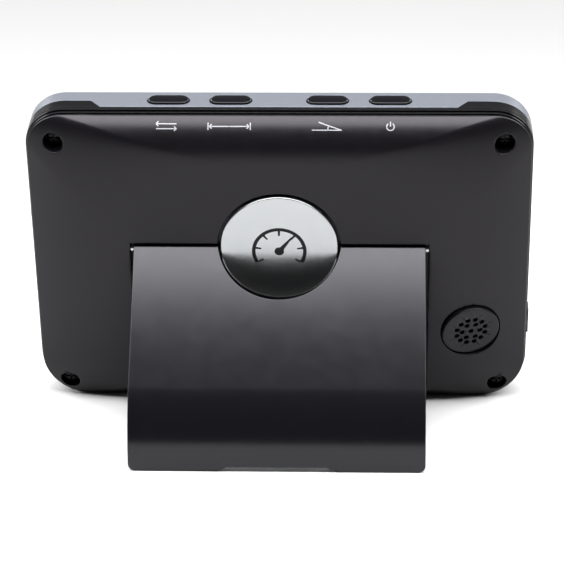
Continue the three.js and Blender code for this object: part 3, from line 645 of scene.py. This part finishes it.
def bright_steel():
    look = Look("bright_steel", (0.55, 0.56, 0.58), 0.27, 1.0)
    look.vary_color(look.noise(1.5, 3), 0.9, 1.06)
    look.vary_roughness(look.noise(0.3, 2, (6, 1, 1)), 0.2, 0.36)
    look.bump(look.noise(0.25, 2, (8, 1, 1)), 0.0015)
    return look.material


def black_screw():
    look = Look("black_screw", (0.008, 0.008, 0.009), 0.42, 0.5, Specular_IOR_Level=0.2)
    look.vary_color(look.noise(0.6, 3), 0.8, 1.3)
    look.vary_roughness(look.noise(0.3, 3), 0.3, 0.48)
    look.bump(look.noise(0.1, 2), 0.002)
    return look.material


def cell_wrap():
    look = Look("cell_wrap", (0.025, 0.13, 0.22), 0.24, Coat_Weight=0.5)
    look.mix_color(look.noise(22, 0, (1, 0.02, 0.02)), (0.5, 0.5, 0.52), 0.54, 0.56)
    look.vary_roughness(look.noise(3, 3), 0.2, 0.32)
    look.bump(look.noise(2, 2), 0.01, 0.4)
    return look.material


def studio_floor():
    look = Look("studio_floor", (0.55, 0.55, 0.55), 0.9, Specular_IOR_Level=0.1)
    look.vary_color(look.noise(300, 2), 0.99, 1.01)
    return look.material


LOOKS = {
    make.__name__: make()
    for make in [
        dark_cover, black_frame, satin_stand, silver_housing, chrome_badge, badge_mark,
        key_plastic, flap_rubber, print_ink, clear_lens, black_film, lcd_glass, lcd_ink,
        white_guide, circuit_board, switch_black, copper, bright_steel, black_screw,
        cell_wrap, studio_floor,
    ]
}


def dress_cad_nodes():
    """Gives every CAD node the material of its record slot."""
    slots = {part["node"]: part["material_slot"] for part in frame["record"]["subparts"]}
    for name, node in frame["nodes"].items():
        node.data.materials.clear()
        node.data.materials.append(LOOKS[slots[name]])


# ---------------------------------------------------------------- the rear cover


def crown_solid(name, front, offset=0.0, drop=0.0, steps=CROWN_STEPS, straights=14):
    """The crowned body from a front station, lowered by a drop and pulled in by an offset."""
    foot = CROWN_FRONT - drop
    rings = [at_y(crown_outline(0, offset, straights), front)]
    for i in range(steps + 1):
        level = 1 - (1 - i / steps) ** 2
        rings.append(at_y(crown_outline(level, offset, straights), foot + level * CROWN_DROP))
    rings.append(at_y(crown_outline(1, offset, straights, 1.0), foot + CROWN_DROP))
    return loft(name, rings)


def recess_cutters():
    """The room that the folded stand needs, around the post that carries the emblem."""
    centre = COVER_REAR - BEND_RADIUS
    radius = BEND_RADIUS - STAND_THICKNESS - 0.4
    outline = [(6, 1), (RECESS_FLOOR, 1), (RECESS_FLOOR, BEND_Z)]
    outline += arc(centre, BEND_Z, radius, 0, -math.degrees(BEND_ANGLE), 24)[1:]
    outline.append((6, -75))
    pocket = side_slab("pocket", outline, -RECESS_SIDE, RECESS_SIDE)
    barrel = bar("barrel", -RECESS_SIDE, RECESS_SIDE, HINGE_Y, HINGE_Z, BARREL_RADIUS + 0.4)
    pedestal = post("pedestal", 0, 0, PEDESTAL_RADIUS, -30, 10, 96)
    return cut(join(pocket, barrel), pedestal)


def under_surface(piece, clearance=0.05):
    """The part of a piece that stays a clearance under the crowned surface."""
    limit = crown_solid("limit", COVER_FRONT - 9, clearance, clearance, 12, 1)
    return overlap(piece, limit)


def rear_cover():
    cover = crown_solid("rear_cover_shell", COVER_FRONT)
    cut(cover, crown_solid("hollow", COVER_FRONT - 4, WALL, WALL, 12, 1))
    side = RECESS_SIDE + 3.6
    floor = under_surface(block("floor", -side, side, RECESS_FLOOR - WALL, 0, -58, 3.2))
    tub_outline = rounded(
        -BAY_HALF_WIDTH - 4.1, BAY_HALF_WIDTH + 4.1, BAY_BOTTOM - 2.6, BAY_TOP + 2.6, 2, 8
    )
    seat_floor = -EMBLEM_THICKNESS - 0.2
    parts = [
        floor,
        slab("tub", tub_outline, BAY_FLOOR - 1.5, RECESS_FLOOR - 1),
        post("seat", 0, 0, PEDESTAL_RADIUS, RECESS_FLOOR - WALL, seat_floor, 96),
    ]
    for x, z in SCREW_POSTS:
        tower = post("tower", x, z, TOWER_RADIUS, COUNTERBORE_FLOOR - 1.5, surface_y(x, z) + 3)
        parts.append(under_surface(tower))
    drum = moved(post("drum", 0, 0, SPEAKER_SEAT_RADIUS + 1.6, -4.6, 0), SPEAKER_FRAME)
    parts.append(under_surface(drum, 0.3))
    join(cover, *parts)

    bores = [post("bore", x, z, COUNTERBORE_RADIUS, COUNTERBORE_FLOOR, 5) for x, z in SCREW_POSTS]
    bores += [
        post("bore", x, z, SHANK_BORE, -30, COUNTERBORE_FLOOR + 1, 24) for x, z in SCREW_POSTS
    ]
    door_outline = rounded(
        -DOOR_HALF_WIDTH - GAP, DOOR_HALF_WIDTH + GAP, DOOR_BOTTOM - GAP, DOOR_TOP + GAP, 1.5, 6
    )
    bay = (-BAY_HALF_WIDTH, BAY_HALF_WIDTH, BAY_FLOOR, 5, BAY_BOTTOM, BAY_TOP)
    cutters = [
        recess_cutters(),
        post("emblem_seat", 0, 0, EMBLEM_SEAT_RADIUS, seat_floor, 5, 128),
        block("bay", *bay),
        slab("door_seat", door_outline, DOOR_OUTER - DOOR_THICKNESS - 0.2, 5),
        moved(
            post("speaker_seat", 0, 0, SPEAKER_SEAT_RADIUS, -SPEAKER_THICKNESS - 0.6, 5, 96),
            SPEAKER_FRAME,
        ),
        moved(post("speaker_room", 0, 0, SPEAKER_ROOM_RADIUS, -12, 5, 48), SPEAKER_FRAME),
        bar("pins", -RECESS_SIDE - 3.1, RECESS_SIDE + 3.1, HINGE_Y, HINGE_Z, PIN_BORE),
        *bores,
    ]
    cut(cover, *cutters)
    return finished(
        cover, "monitor", LOOKS["dark_cover"], ["rear_cover"], 0.22, 2
    )


# ---------------------------------------------------------------- the dark frame and its bumpers


def bumper_zone(sign_x, sign_z, grow):
    """The room of one corner bumper, with a slanted start on each side."""
    edge = TOP if sign_z > 0 else -BOTTOM
    start = edge - BUMPER_DROP - grow
    far = 90
    rings = []
    for x, z, y in (
        (BUMPER_END - grow, start + BUMPER_SLOPE, BUMPER_FRONT - grow),
        (BUMPER_START - grow, start, HOUSING_REAR + 1),
    ):
        corners = [(x, z), (far, z), (far, far), (x, far)]
        rings.append([(sign_x * px, y, sign_z * pz) for px, pz in corners])
    return loft("zone", rings)


def bumper_zones(grow):
    zones = [bumper_zone(sx, sz, grow) for sx in (-1, 1) for sz in (-1, 1)]
    return join(zones[0], *zones[1:])


def mid_frame():
    """A ribbed ring whose corners reach forward over the silver housing."""
    rings = []
    front = FRAME_FRONT
    soft = 0.12
    for rear, inset in FRAME_RIBS:
        for y, more in ((front + 0.02, soft), (front + soft, 0), (rear - soft, 0), (rear - 0.02, soft)):
            rings.append(at_y(case_outline(inset + more, 14), y))
        front = rear
    outer = loft("mid_frame_trim", rings)
    band = slab("band", case_outline(0.1), BUMPER_FRONT, FRAME_FRONT + 0.2)
    cut(band, slab("inside", case_outline(BUMPER_DEPTH), BUMPER_FRONT - 1, FRAME_FRONT + 1))
    join(outer, overlap(band, bumper_zones(0)))
    inner = slab("inner", case_outline(FRAME_WALL), BUMPER_FRONT - 2, FRAME_REAR + 1)
    posts = [
        post("clearance", x, z, TOWER_RADIUS + 0.25, FRAME_FRONT - 1, FRAME_REAR + 1)
        for x, z in SCREW_POSTS
    ]
    cut(outer, inner, *posts)
    return finished(
        outer, "monitor", LOOKS["black_frame"], ["mid_frame"], 0.12, 2
    )


# ---------------------------------------------------------------- the silver housing


def front_housing():
    straights = 6
    rings = [
        at_y(case_outline(inset, straights), y)
        for inset, y in (
            (2.6, FRONT_FACE), (1.9, FRONT_FACE + 0.07), (1.3, FRONT_FACE + 0.25),
            (0.9, FRONT_FACE + 0.48), (0.6, FRONT_FACE + 0.8), (0.42, FRONT_FACE + 1.15),
            (0.3, FRONT_FACE + 1.6), (0.15, HOUSING_REAR),
        )
    ]
    shell = loft("front_housing_shell", rings)
    cavity = [at_y(case_outline(WALL + 0.35), FRONT_FACE + WALL)]
    cavity.append(at_y(case_outline(WALL + 0.15), HOUSING_REAR + 1))
    cut(shell, loft("cavity", cavity))
    ledge_edges = (-LEDGE_HALF_WIDTH, LEDGE_HALF_WIDTH, LEDGE_BOTTOM, LEDGE_TOP)
    ledge = slab("ledge", rounded(*ledge_edges, LEDGE_RADIUS), FRONT_FACE + 1, LEDGE_INNER)
    posts = [
        post("post", x, z, HOUSING_POST_RADIUS, FRONT_FACE + 1, HOUSING_POST_END, 24)
        for x, z in SCREW_POSTS
    ]
    join(shell, ledge, *posts)

    skin = slab("skin", case_outline(-1), FRONT_FACE - 1, HOUSING_REAR + 1)
    cut(skin, slab("core", case_outline(BUMPER_DEPTH + 0.35), FRONT_FACE - 2, HOUSING_REAR + 2))
    window = rounded(
        -WINDOW_HALF_WIDTH - 2, WINDOW_HALF_WIDTH + 2, WINDOW_BOTTOM - 2, WINDOW_TOP + 2,
        WINDOW_RADIUS, 8,
    )
    flap_half = (PORT_HALF_HEIGHT + GAP, PORT_HALF_LENGTH + GAP)
    tools = [
        overlap(skin, bumper_zones(GAP)),
        slab("lens_pocket", lens_outline(GAP), FRONT_FACE - 1, FRONT_FACE + 2.1),
        slab("window", window, FRONT_FACE, LEDGE_INNER + 1),
        block("port_slot", -80, -60, PORT_Y - 1.8, PORT_Y + 1.8, PORT_Z - 4, PORT_Z + 4),
        block(
            "flap_seat", -80, -HALF_WIDTH + 1.1, PORT_Y - flap_half[0], PORT_Y + flap_half[0],
            PORT_Z - flap_half[1], PORT_Z + flap_half[1],
        ),
    ]
    for x in KEYS.values():
        outline = pill(x, KEY_Y, KEY_LENGTH + 2 * GAP, KEY_WIDTH + 2 * GAP)
        tools.append(upright("key_slot", outline, TOP - 6, TOP + 2))
    for x, z in SCREW_POSTS:
        tools.append(post("bore", x, z, SHANK_BORE, FRONT_FACE + 2, -12, 24))
    cut(shell, *tools)
    return finished(
        shell, "monitor", LOOKS["silver_housing"], ["front_housing"], 0.15, 2
    )


# ---------------------------------------------------------------- the display


def lens_outline(grow=0.0):
    return rounded(
        -LENS_HALF_WIDTH - grow, LENS_HALF_WIDTH + grow, LENS_BOTTOM - grow, LENS_TOP + grow,
        LENS_RADIUS,
    )


def display_lens():
    front = FRONT_FACE + 0.1
    lens = slab("display_window", lens_outline(), front, front + LENS_THICKNESS)
    return finished(
        lens, "monitor", LOOKS["clear_lens"], ["display_lens"], 0.3, 3
    )


SEGMENTS = {
    "a": ((0, 2), (1, 2)), "b": ((1, 1), (1, 2)), "c": ((1, 0), (1, 1)), "d": ((0, 0), (1, 0)),
    "e": ((0, 0), (0, 1)), "f": ((0, 1), (0, 2)), "g": ((0, 1), (1, 1)),
}
DIGITS = {"1": "bc", "8": "abcdefg"}


def segment_solid(start, end, thick, front):
    """One bar of a digit: a long hexagon between two points."""
    direction = (end - start).normalized()
    side = Vector((-direction.y, direction.x)) * thick / 2
    tip = direction * thick / 2
    gap = direction * 0.35
    a, b = start + gap, end - gap
    points = [a, a + tip + side, b - tip + side, b, b - tip - side, a + tip - side]
    return slab("segment", [(p.x, p.y) for p in points], front, front + 0.12)


def display_digits():
    """Three big digits and a row of level marks, as dark cells of the display."""
    front = LEDGE_INNER + 0.1
    width, height, thick = 13.0, 11.5, 2.6
    first, pitch, base = 12.0, 21.0, -3.5
    pieces = []
    for place, digit in enumerate("188"):
        left = first - pitch * place
        for name in DIGITS[digit]:
            (x0, z0), (x1, z1) = SEGMENTS[name]
            start = Vector((left - width * x0, base + height * z0))
            end = Vector((left - width * x1, base + height * z1))
            pieces.append(segment_solid(start, end, thick, front))
    for i in range(8):
        x, low, high = -38 + 2.4 * i, 22.5, 23.3 + 0.3 * i
        mark = [(x, low), (x + 1.6, low), (x + 1.6, high), (x, high)]
        pieces.append(slab("level", mark, front, front + 0.12))
    digits = join(pieces[0], *pieces[1:])
    digits.name = "display_digits"
    return finished(digits, "monitor", LOOKS["lcd_ink"], (), 0)


# ---------------------------------------------------------------- the stand


def stand_profile():
    inner = COVER_REAR - STAND_THICKNESS
    centre = COVER_REAR - BEND_RADIUS
    end = -math.degrees(BEND_ANGLE) - 0.6
    barrel = arc(HINGE_Y, HINGE_Z, BARREL_RADIUS, 225, 0, 20)
    outer_bend = arc(centre, BEND_Z, BEND_RADIUS, 0, end, 32)
    inner_bend = arc(centre, BEND_Z, BEND_RADIUS - STAND_THICKNESS, end, 0, 32)
    return [*barrel, *outer_bend, *inner_bend, (inner, HINGE_Z - BARREL_RADIUS)]


def foot_outline():
    """The stand seen level from behind: round lower corners and a shallow notch."""
    half, corner = STAND_HALF_WIDTH + 0.01, FOOT_CORNER
    right = arc(STAND_HALF_WIDTH - corner, corner, corner, -90, 0, 6)
    left = arc(-STAND_HALF_WIDTH + corner, corner, corner, 180, 270, 6)
    notch = [
        (-NOTCH_HALF_WIDTH - NOTCH_SLOPE, 0), (-NOTCH_HALF_WIDTH, NOTCH_HEIGHT),
        (NOTCH_HALF_WIDTH, NOTCH_HEIGHT), (NOTCH_HALF_WIDTH + NOTCH_SLOPE, 0),
    ]
    return [(-half, 110), *left, *notch, *right, (half, 110)]


def stand():
    plate = side_slab("stand_plate", stand_profile(), -STAND_HALF_WIDTH, STAND_HALF_WIDTH)
    inner, outer = STAND_HALF_WIDTH - STAND_BORE_DEPTH, STAND_HALF_WIDTH + 1
    cut(
        plate,
        post("cut_out", 0, 0, CUT_OUT_RADIUS, -12, 6, 128),
        bar("bore", inner, outer, HINGE_Y, HINGE_Z, STAND_BORE),
        bar("bore", -outer, -inner, HINGE_Y, HINGE_Z, STAND_BORE),
    )
    moved(plate, CASE @ OPENED)
    middle = ORIGIN.x
    outline = [(x + middle, z) for x, z in foot_outline()]
    overlap(plate, slab("limit", outline, -120, 120))
    return finished(
        plate, "stand", LOOKS["satin_stand"], ["stand"], 0.35, 3,
        place=Matrix.Identity(4),
    )


# ---------------------------------------------------------------- the emblem


def emblem():
    """A polished disc with a rolled rim and a face that is slightly dished inside a ring."""
    back = -EMBLEM_THICKNESS
    profile = [(0, back), (EMBLEM_RADIUS, back), (EMBLEM_RADIUS, -EMBLEM_RIM)]
    for angle in (math.radians(a) for a in range(10, 91, 10)):
        profile.append((
            EMBLEM_RADIUS - EMBLEM_RIM * (1 - math.cos(angle)),
            -EMBLEM_RIM + EMBLEM_RIM * math.sin(angle),
        ))
    profile += [(DISH_RADIUS + DISH_HALF_SLOPE, 0), (DISH_RADIUS - DISH_HALF_SLOPE, -DISH_DEPTH)]
    profile += [(0.5, -DISH_DEPTH), (0, -DISH_DEPTH)]
    disc = turned("emblem_badge", profile, 160)
    return finished(
        disc, "monitor", LOOKS["chrome_badge"], ["emblem_disc"], 0, angle=40
    )


def arc_band(name, inner, outer, start, end, front, rear, steps=36):
    """A stretch of a flat ring."""
    outline = arc(0, 0, outer, start, end, steps) + arc(0, 0, inner, end, start, steps)
    return slab(name, outline, front, rear)


def emblem_mark():
    """A generic gauge: an open arc with ticks, and a needle on a hub."""
    low, high = -0.45, -DISH_DEPTH + 0.03
    first, last, drop = -30, 210, 1.2
    mark = arc_band("emblem_mark", 7.3, 8.5, first, last, low, high, 64)
    pieces = []
    for angle in range(first, last + 1, 40):
        pieces.append(arc_band("tick", 5.6, 7.5, angle - 3, angle + 3, low, high, 4))
    needle_angle = math.radians(128)
    tip = Vector((math.cos(needle_angle), math.sin(needle_angle)))
    side = Vector((-tip.y, tip.x))
    needle = [side * 0.9 - tip * 0.6, tip * 6.4 + side * 0.25, tip * 6.4 - side * 0.25]
    needle.append(-side * 0.9 - tip * 0.6)
    pieces.append(slab("needle", [(p.x, p.y) for p in needle], low, high))
    pieces.append(post("hub", 0, 0, 1.5, low, high, 40))
    join(mark, *pieces)
    moved(mark, Matrix.Translation((0, 0, -drop)))
    return finished(mark, "monitor", LOOKS["badge_mark"], (), 0.1, 2)


# ---------------------------------------------------------------- keys and printed signs


def key_cap(name, x):
    """A pill-shaped key with a rolled edge and a slightly crowned top."""
    top = TOP + KEY_PROUD
    roll = 0.75
    levels = [(0, TOP - 3.6), (0, top - roll - 0.12)]
    for angle in (math.radians(a) for a in range(15, 91, 15)):
        levels.append((roll * (1 - math.cos(angle)), top - 0.12 - roll * (1 - math.sin(angle))))
    levels += [(roll + 0.7, top - 0.04), (roll + 1.4, top)]
    rings = []
    for inset, z in levels:
        outline = pill(x, KEY_Y, KEY_LENGTH - 2 * inset, KEY_WIDTH - 2 * inset, 20)
        rings.append([(px, py, z) for px, py in outline])
    cap = loft(f"key_cap_{name}", rings)
    body = f"key_{name}"
    return finished(cap, body, LOOKS["key_plastic"], [body], 0, angle=60)


PRINT_Z = 39.8
PRINT_SLOPE = math.radians(46)
LINE, INK = 0.34, 0.07


def print_point(sign_x, point):
    """A point of a printed sign, laid on the crowned surface."""
    x, z = sign_x + point[0], PRINT_Z + point[1] * math.cos(PRINT_SLOPE)
    return x, surface_y(x, z), z


def printed(name, x, strokes):
    """A sign made of thin inked lines on the top of the rear cover."""
    vertices, faces = [], []
    for (x0, z0), (x1, z1) in strokes:
        start, end = Vector((x0, z0)), Vector((x1, z1))
        direction = (end - start).normalized()
        side = Vector((-direction.y, direction.x)) * LINE / 2
        steps = max(1, round((end - start).length / 0.4))
        for i in range(steps + 1):
            middle = start.lerp(end, i / steps)
            for edge in (middle + side, middle - side):
                vertices.append(print_point(x, edge))
            if i:
                k = len(vertices)
                faces.append((k - 4, k - 3, k - 1, k - 2))
    sign = solid(f"print_{name}", vertices, faces)
    thicken = sign.modifiers.new("ink", "SOLIDIFY")
    thicken.thickness = INK
    thicken.offset = 0
    bake(sign)
    return finished(sign, "monitor", LOOKS["print_ink"], (), 0)


def polyline(points):
    return list(zip(points, points[1:]))


def arrow(x0, x1, z, head=0.7):
    """A line with an arrow head at its second end."""
    back = x1 - head if x1 > x0 else x1 + head
    return [((x0, z), (x1, z)), ((back, z + head), (x1, z)), ((back, z - head), (x1, z))]


def printed_signs():
    swap = arrow(-3.1, 3.1, 0.75) + arrow(3.1, -3.1, -0.75)
    span = arrow(0, 6.0, 0) + arrow(0, -6.0, 0)
    span += [((-6.4, -1.1), (-6.4, 1.1)), ((6.4, -1.1), (6.4, 1.1))]
    wedge = [((-4.5, -1.1), (4.5, -1.1)), ((-4.5, -1.1), (2.5, 1.3))]
    wedge += polyline([(x - 4.5, z - 1.1) for x, z in arc(0, 0, 4.2, 0, 19, 6)])
    power = polyline(arc(0, 0, 1.15, 125, 415, 22)) + [((0, 0.1), (0, 1.5))]
    for (name, x), strokes in zip(KEYS.items(), (swap, span, wedge, power)):
        printed(name, x, strokes)


# ---------------------------------------------------------------- speaker, door, flap, screws


def speaker_grille():
    """A round plate with its holes on circles, lying square to the crowned surface."""
    edge = 0.35
    profile = [(0, -SPEAKER_THICKNESS), (SPEAKER_RADIUS, -SPEAKER_THICKNESS)]
    for angle in (math.radians(a) for a in range(0, 91, 15)):
        profile.append((SPEAKER_RADIUS - edge * (1 - math.cos(angle)), -edge * (1 - math.sin(angle))))
    profile += [(8.0, 0.0), (0.4, 0), (0, 0)]
    plate = turned("speaker_mesh", profile, 96)
    holes = []
    for count, radius, turn in SPEAKER_CIRCLES:
        for i in range(count):
            x, z = arc(0, 0, radius, 360 * (i + turn) / count, 0, 1)[0]
            holes.append(post("hole", x, z, SPEAKER_HOLE, -5, 2, 20))
    cut(plate, *holes)
    return finished(
        plate, "monitor", LOOKS["dark_cover"], ["speaker_grille"], 0.1, 2,
        place=CASE @ SPEAKER_FRAME,
    )


def battery_door():
    outline = rounded(-DOOR_HALF_WIDTH, DOOR_HALF_WIDTH, DOOR_BOTTOM, DOOR_TOP, 1.2, 8)
    door = slab("battery_door_panel", outline, DOOR_OUTER - DOOR_THICKNESS, DOOR_OUTER)
    grips = []
    for i in (-1, 0, 1):
        line = pill(0, DOOR_BOTTOM + 4.5 + 1.6 * i, 14, 0.6, 8)
        grips.append(slab("grip", line, DOOR_OUTER - 0.4, DOOR_OUTER + 1))
    cut(door, *grips)
    return finished(
        door, "battery_door", LOOKS["dark_cover"], ["battery_door"], 0.18, 2
    )


def port_flap():
    """A soft cover with a rounded face, a finger lip and a plug behind it."""
    face = -HALF_WIDTH - PORT_PROUD
    half_y, half_z = PORT_HALF_HEIGHT, PORT_HALF_LENGTH
    outline = rounded(PORT_Y - half_y, PORT_Y + half_y, PORT_Z - half_z, PORT_Z + half_z, 0.8, 6)
    flap = side_slab("port_flap_cover", outline, face, face + 1.3)
    plug = block("plug", face + 1, face + 3, PORT_Y - 1.2, PORT_Y + 1.2, PORT_Z - 2.2, PORT_Z + 2.6)
    join(flap, plug)
    lip = side_slab("lip", pill(PORT_Y, PORT_Z + 3.4, 3.0, 0.5, 6), face - 1, face + 0.25)
    cut(flap, lip)
    return finished(
        flap, "port_flap", LOOKS["flap_rubber"], ["port_flap"], 0.2, 3
    )


def case_screw(number, x, z):
    """A pan-head screw with a cross recess."""
    seat = COUNTERBORE_FLOOR + 0.2
    head, height, shank = SCREW_HEAD_RADIUS, 1.8, 1.25
    profile = [(0, seat - 6.4), (shank * 0.6, seat - 6.4), (shank, seat - 5.8), (shank, seat)]
    profile.append((head, seat))
    for angle in (math.radians(a) for a in range(10, 91, 10)):
        profile.append((head * math.cos(angle) ** 0.7 if angle < 1.5 else 0.2,
                        seat + 0.5 + (height - 0.5) * math.sin(angle)))
    profile.append((0, seat + height))
    screw = turned(f"case_screw_head_{number}", profile, 40)
    arm, half = head * 0.62, 0.32
    floor = seat + 0.7
    cut(
        screw,
        block("slot", -arm, arm, floor, seat + 9, -half, half),
        block("slot", -half, half, floor, seat + 9, -arm, arm),
    )
    moved(screw, Matrix.Translation((x, 0, z)))
    return finished(
        screw, "monitor", LOOKS["black_screw"], [f"case_screw_{number}"], 0, angle=35
    )


# ---------------------------------------------------------------- floor, lights and camera


def make_floor():
    size = 6.0
    floor = solid("floor", [(-size, -size, 0), (size, -size, 0), (size, size, 0), (-size, size, 0)],
                  [(0, 1, 2, 3)])
    floor.data.materials.append(LOOKS["studio_floor"])


def softbox(name, place, target, width, depth, radiance):
    """A rectangular light that faces a target, placed and sized in metres."""
    data = bpy.data.lights.new(name, "AREA")
    data.shape = "RECTANGLE"
    data.size, data.size_y = width, depth
    data.energy = radiance * math.pi * width * depth
    light = bpy.data.objects.new(name, data)
    bpy.context.scene.collection.objects.link(light)
    light.location = place
    light.rotation_euler = (Vector(target) - Vector(place)).to_track_quat("-Z", "Y").to_euler()
    return light


def make_lights():
    """One softbox low over the object and two pairs of them at its sides."""
    softbox("overhead", (0, 0.066, 0.36), (0, 0.066, 0), 0.8, 0.202, 13.6)
    sides = {"left": -1, "right": 1}
    for side, sign in sides.items():
        softbox(f"side_{side}", (sign * 1.1, -0.3, 0.8), (0, -0.3, 0), 0.8, 0.8, 3.5)
    for side, sign in sides.items():
        softbox(f"far_{side}", (sign * 1.4, -1.2, 0.9), (0, -1.0, 0), 1.0, 0.8, 9.0)


def make_world():
    """A pale room that darkens towards the rear of the object."""
    world = bpy.data.worlds.new("studio")
    bpy.context.scene.world = world
    world.use_nodes = True
    nodes, links = world.node_tree.nodes, world.node_tree.links
    background = nodes["Background"]
    place = nodes.new("ShaderNodeTexCoord")
    split = nodes.new("ShaderNodeSeparateXYZ")
    ramp = nodes.new("ShaderNodeMapRange")
    links.new(place.outputs["Generated"], split.inputs["Vector"])
    links.new(split.outputs["Y"], ramp.inputs["Value"])
    ramp.inputs["From Min"].default_value = -0.3
    ramp.inputs["From Max"].default_value = 0.5
    ramp.inputs["To Min"].default_value = 0.35
    ramp.inputs["To Max"].default_value = 0.07
    links.new(ramp.outputs["Result"], background.inputs["Strength"])
    background.inputs["Color"].default_value = (1, 1, 1, 1)


# the camera stands behind the object and above it, turned slightly about its own axis
CAMERA_PLACE = Vector((-31.7, 687.8, 434.9))
CAMERA_TARGET = Vector((-0.66, 0, -12.4))
CAMERA_ROLL = math.radians(-0.572)
CAMERA_LENS = 168.3


def make_camera():
    place, target = (CASE @ CAMERA_PLACE) * MM, (CASE @ CAMERA_TARGET) * MM
    back = (place - target).normalized()
    right = Vector((0, 0, 1)).cross(back).normalized()
    up = back.cross(right)
    turned_right = math.cos(CAMERA_ROLL) * right + math.sin(CAMERA_ROLL) * up
    turned_up = back.cross(turned_right)
    data = bpy.data.cameras.new("camera")
    data.lens = CAMERA_LENS
    data.clip_start, data.clip_end = 0.01, 100
    camera = bpy.data.objects.new("camera", data)
    bpy.context.scene.collection.objects.link(camera)
    axes = Matrix((turned_right, turned_up, back)).transposed().to_4x4()
    camera.matrix_world = Matrix.Translation(place) @ axes
    bpy.context.scene.camera = camera


# ---------------------------------------------------------------- assembly

make_camera()
dress_cad_nodes()
rear_cover()
mid_frame()
front_housing()
display_lens()
display_digits()
stand()
emblem()
emblem_mark()
for key_name, key_x in KEYS.items():
    key_cap(key_name, key_x)
printed_signs()
speaker_grille()
battery_door()
port_flap()
for screw_number, (screw_x, screw_z) in enumerate(SCREW_POSTS, 1):
    case_screw(screw_number, screw_x, screw_z)
make_floor()
make_lights()
make_world()
bpy.context.scene.view_settings.view_transform = "Standard"
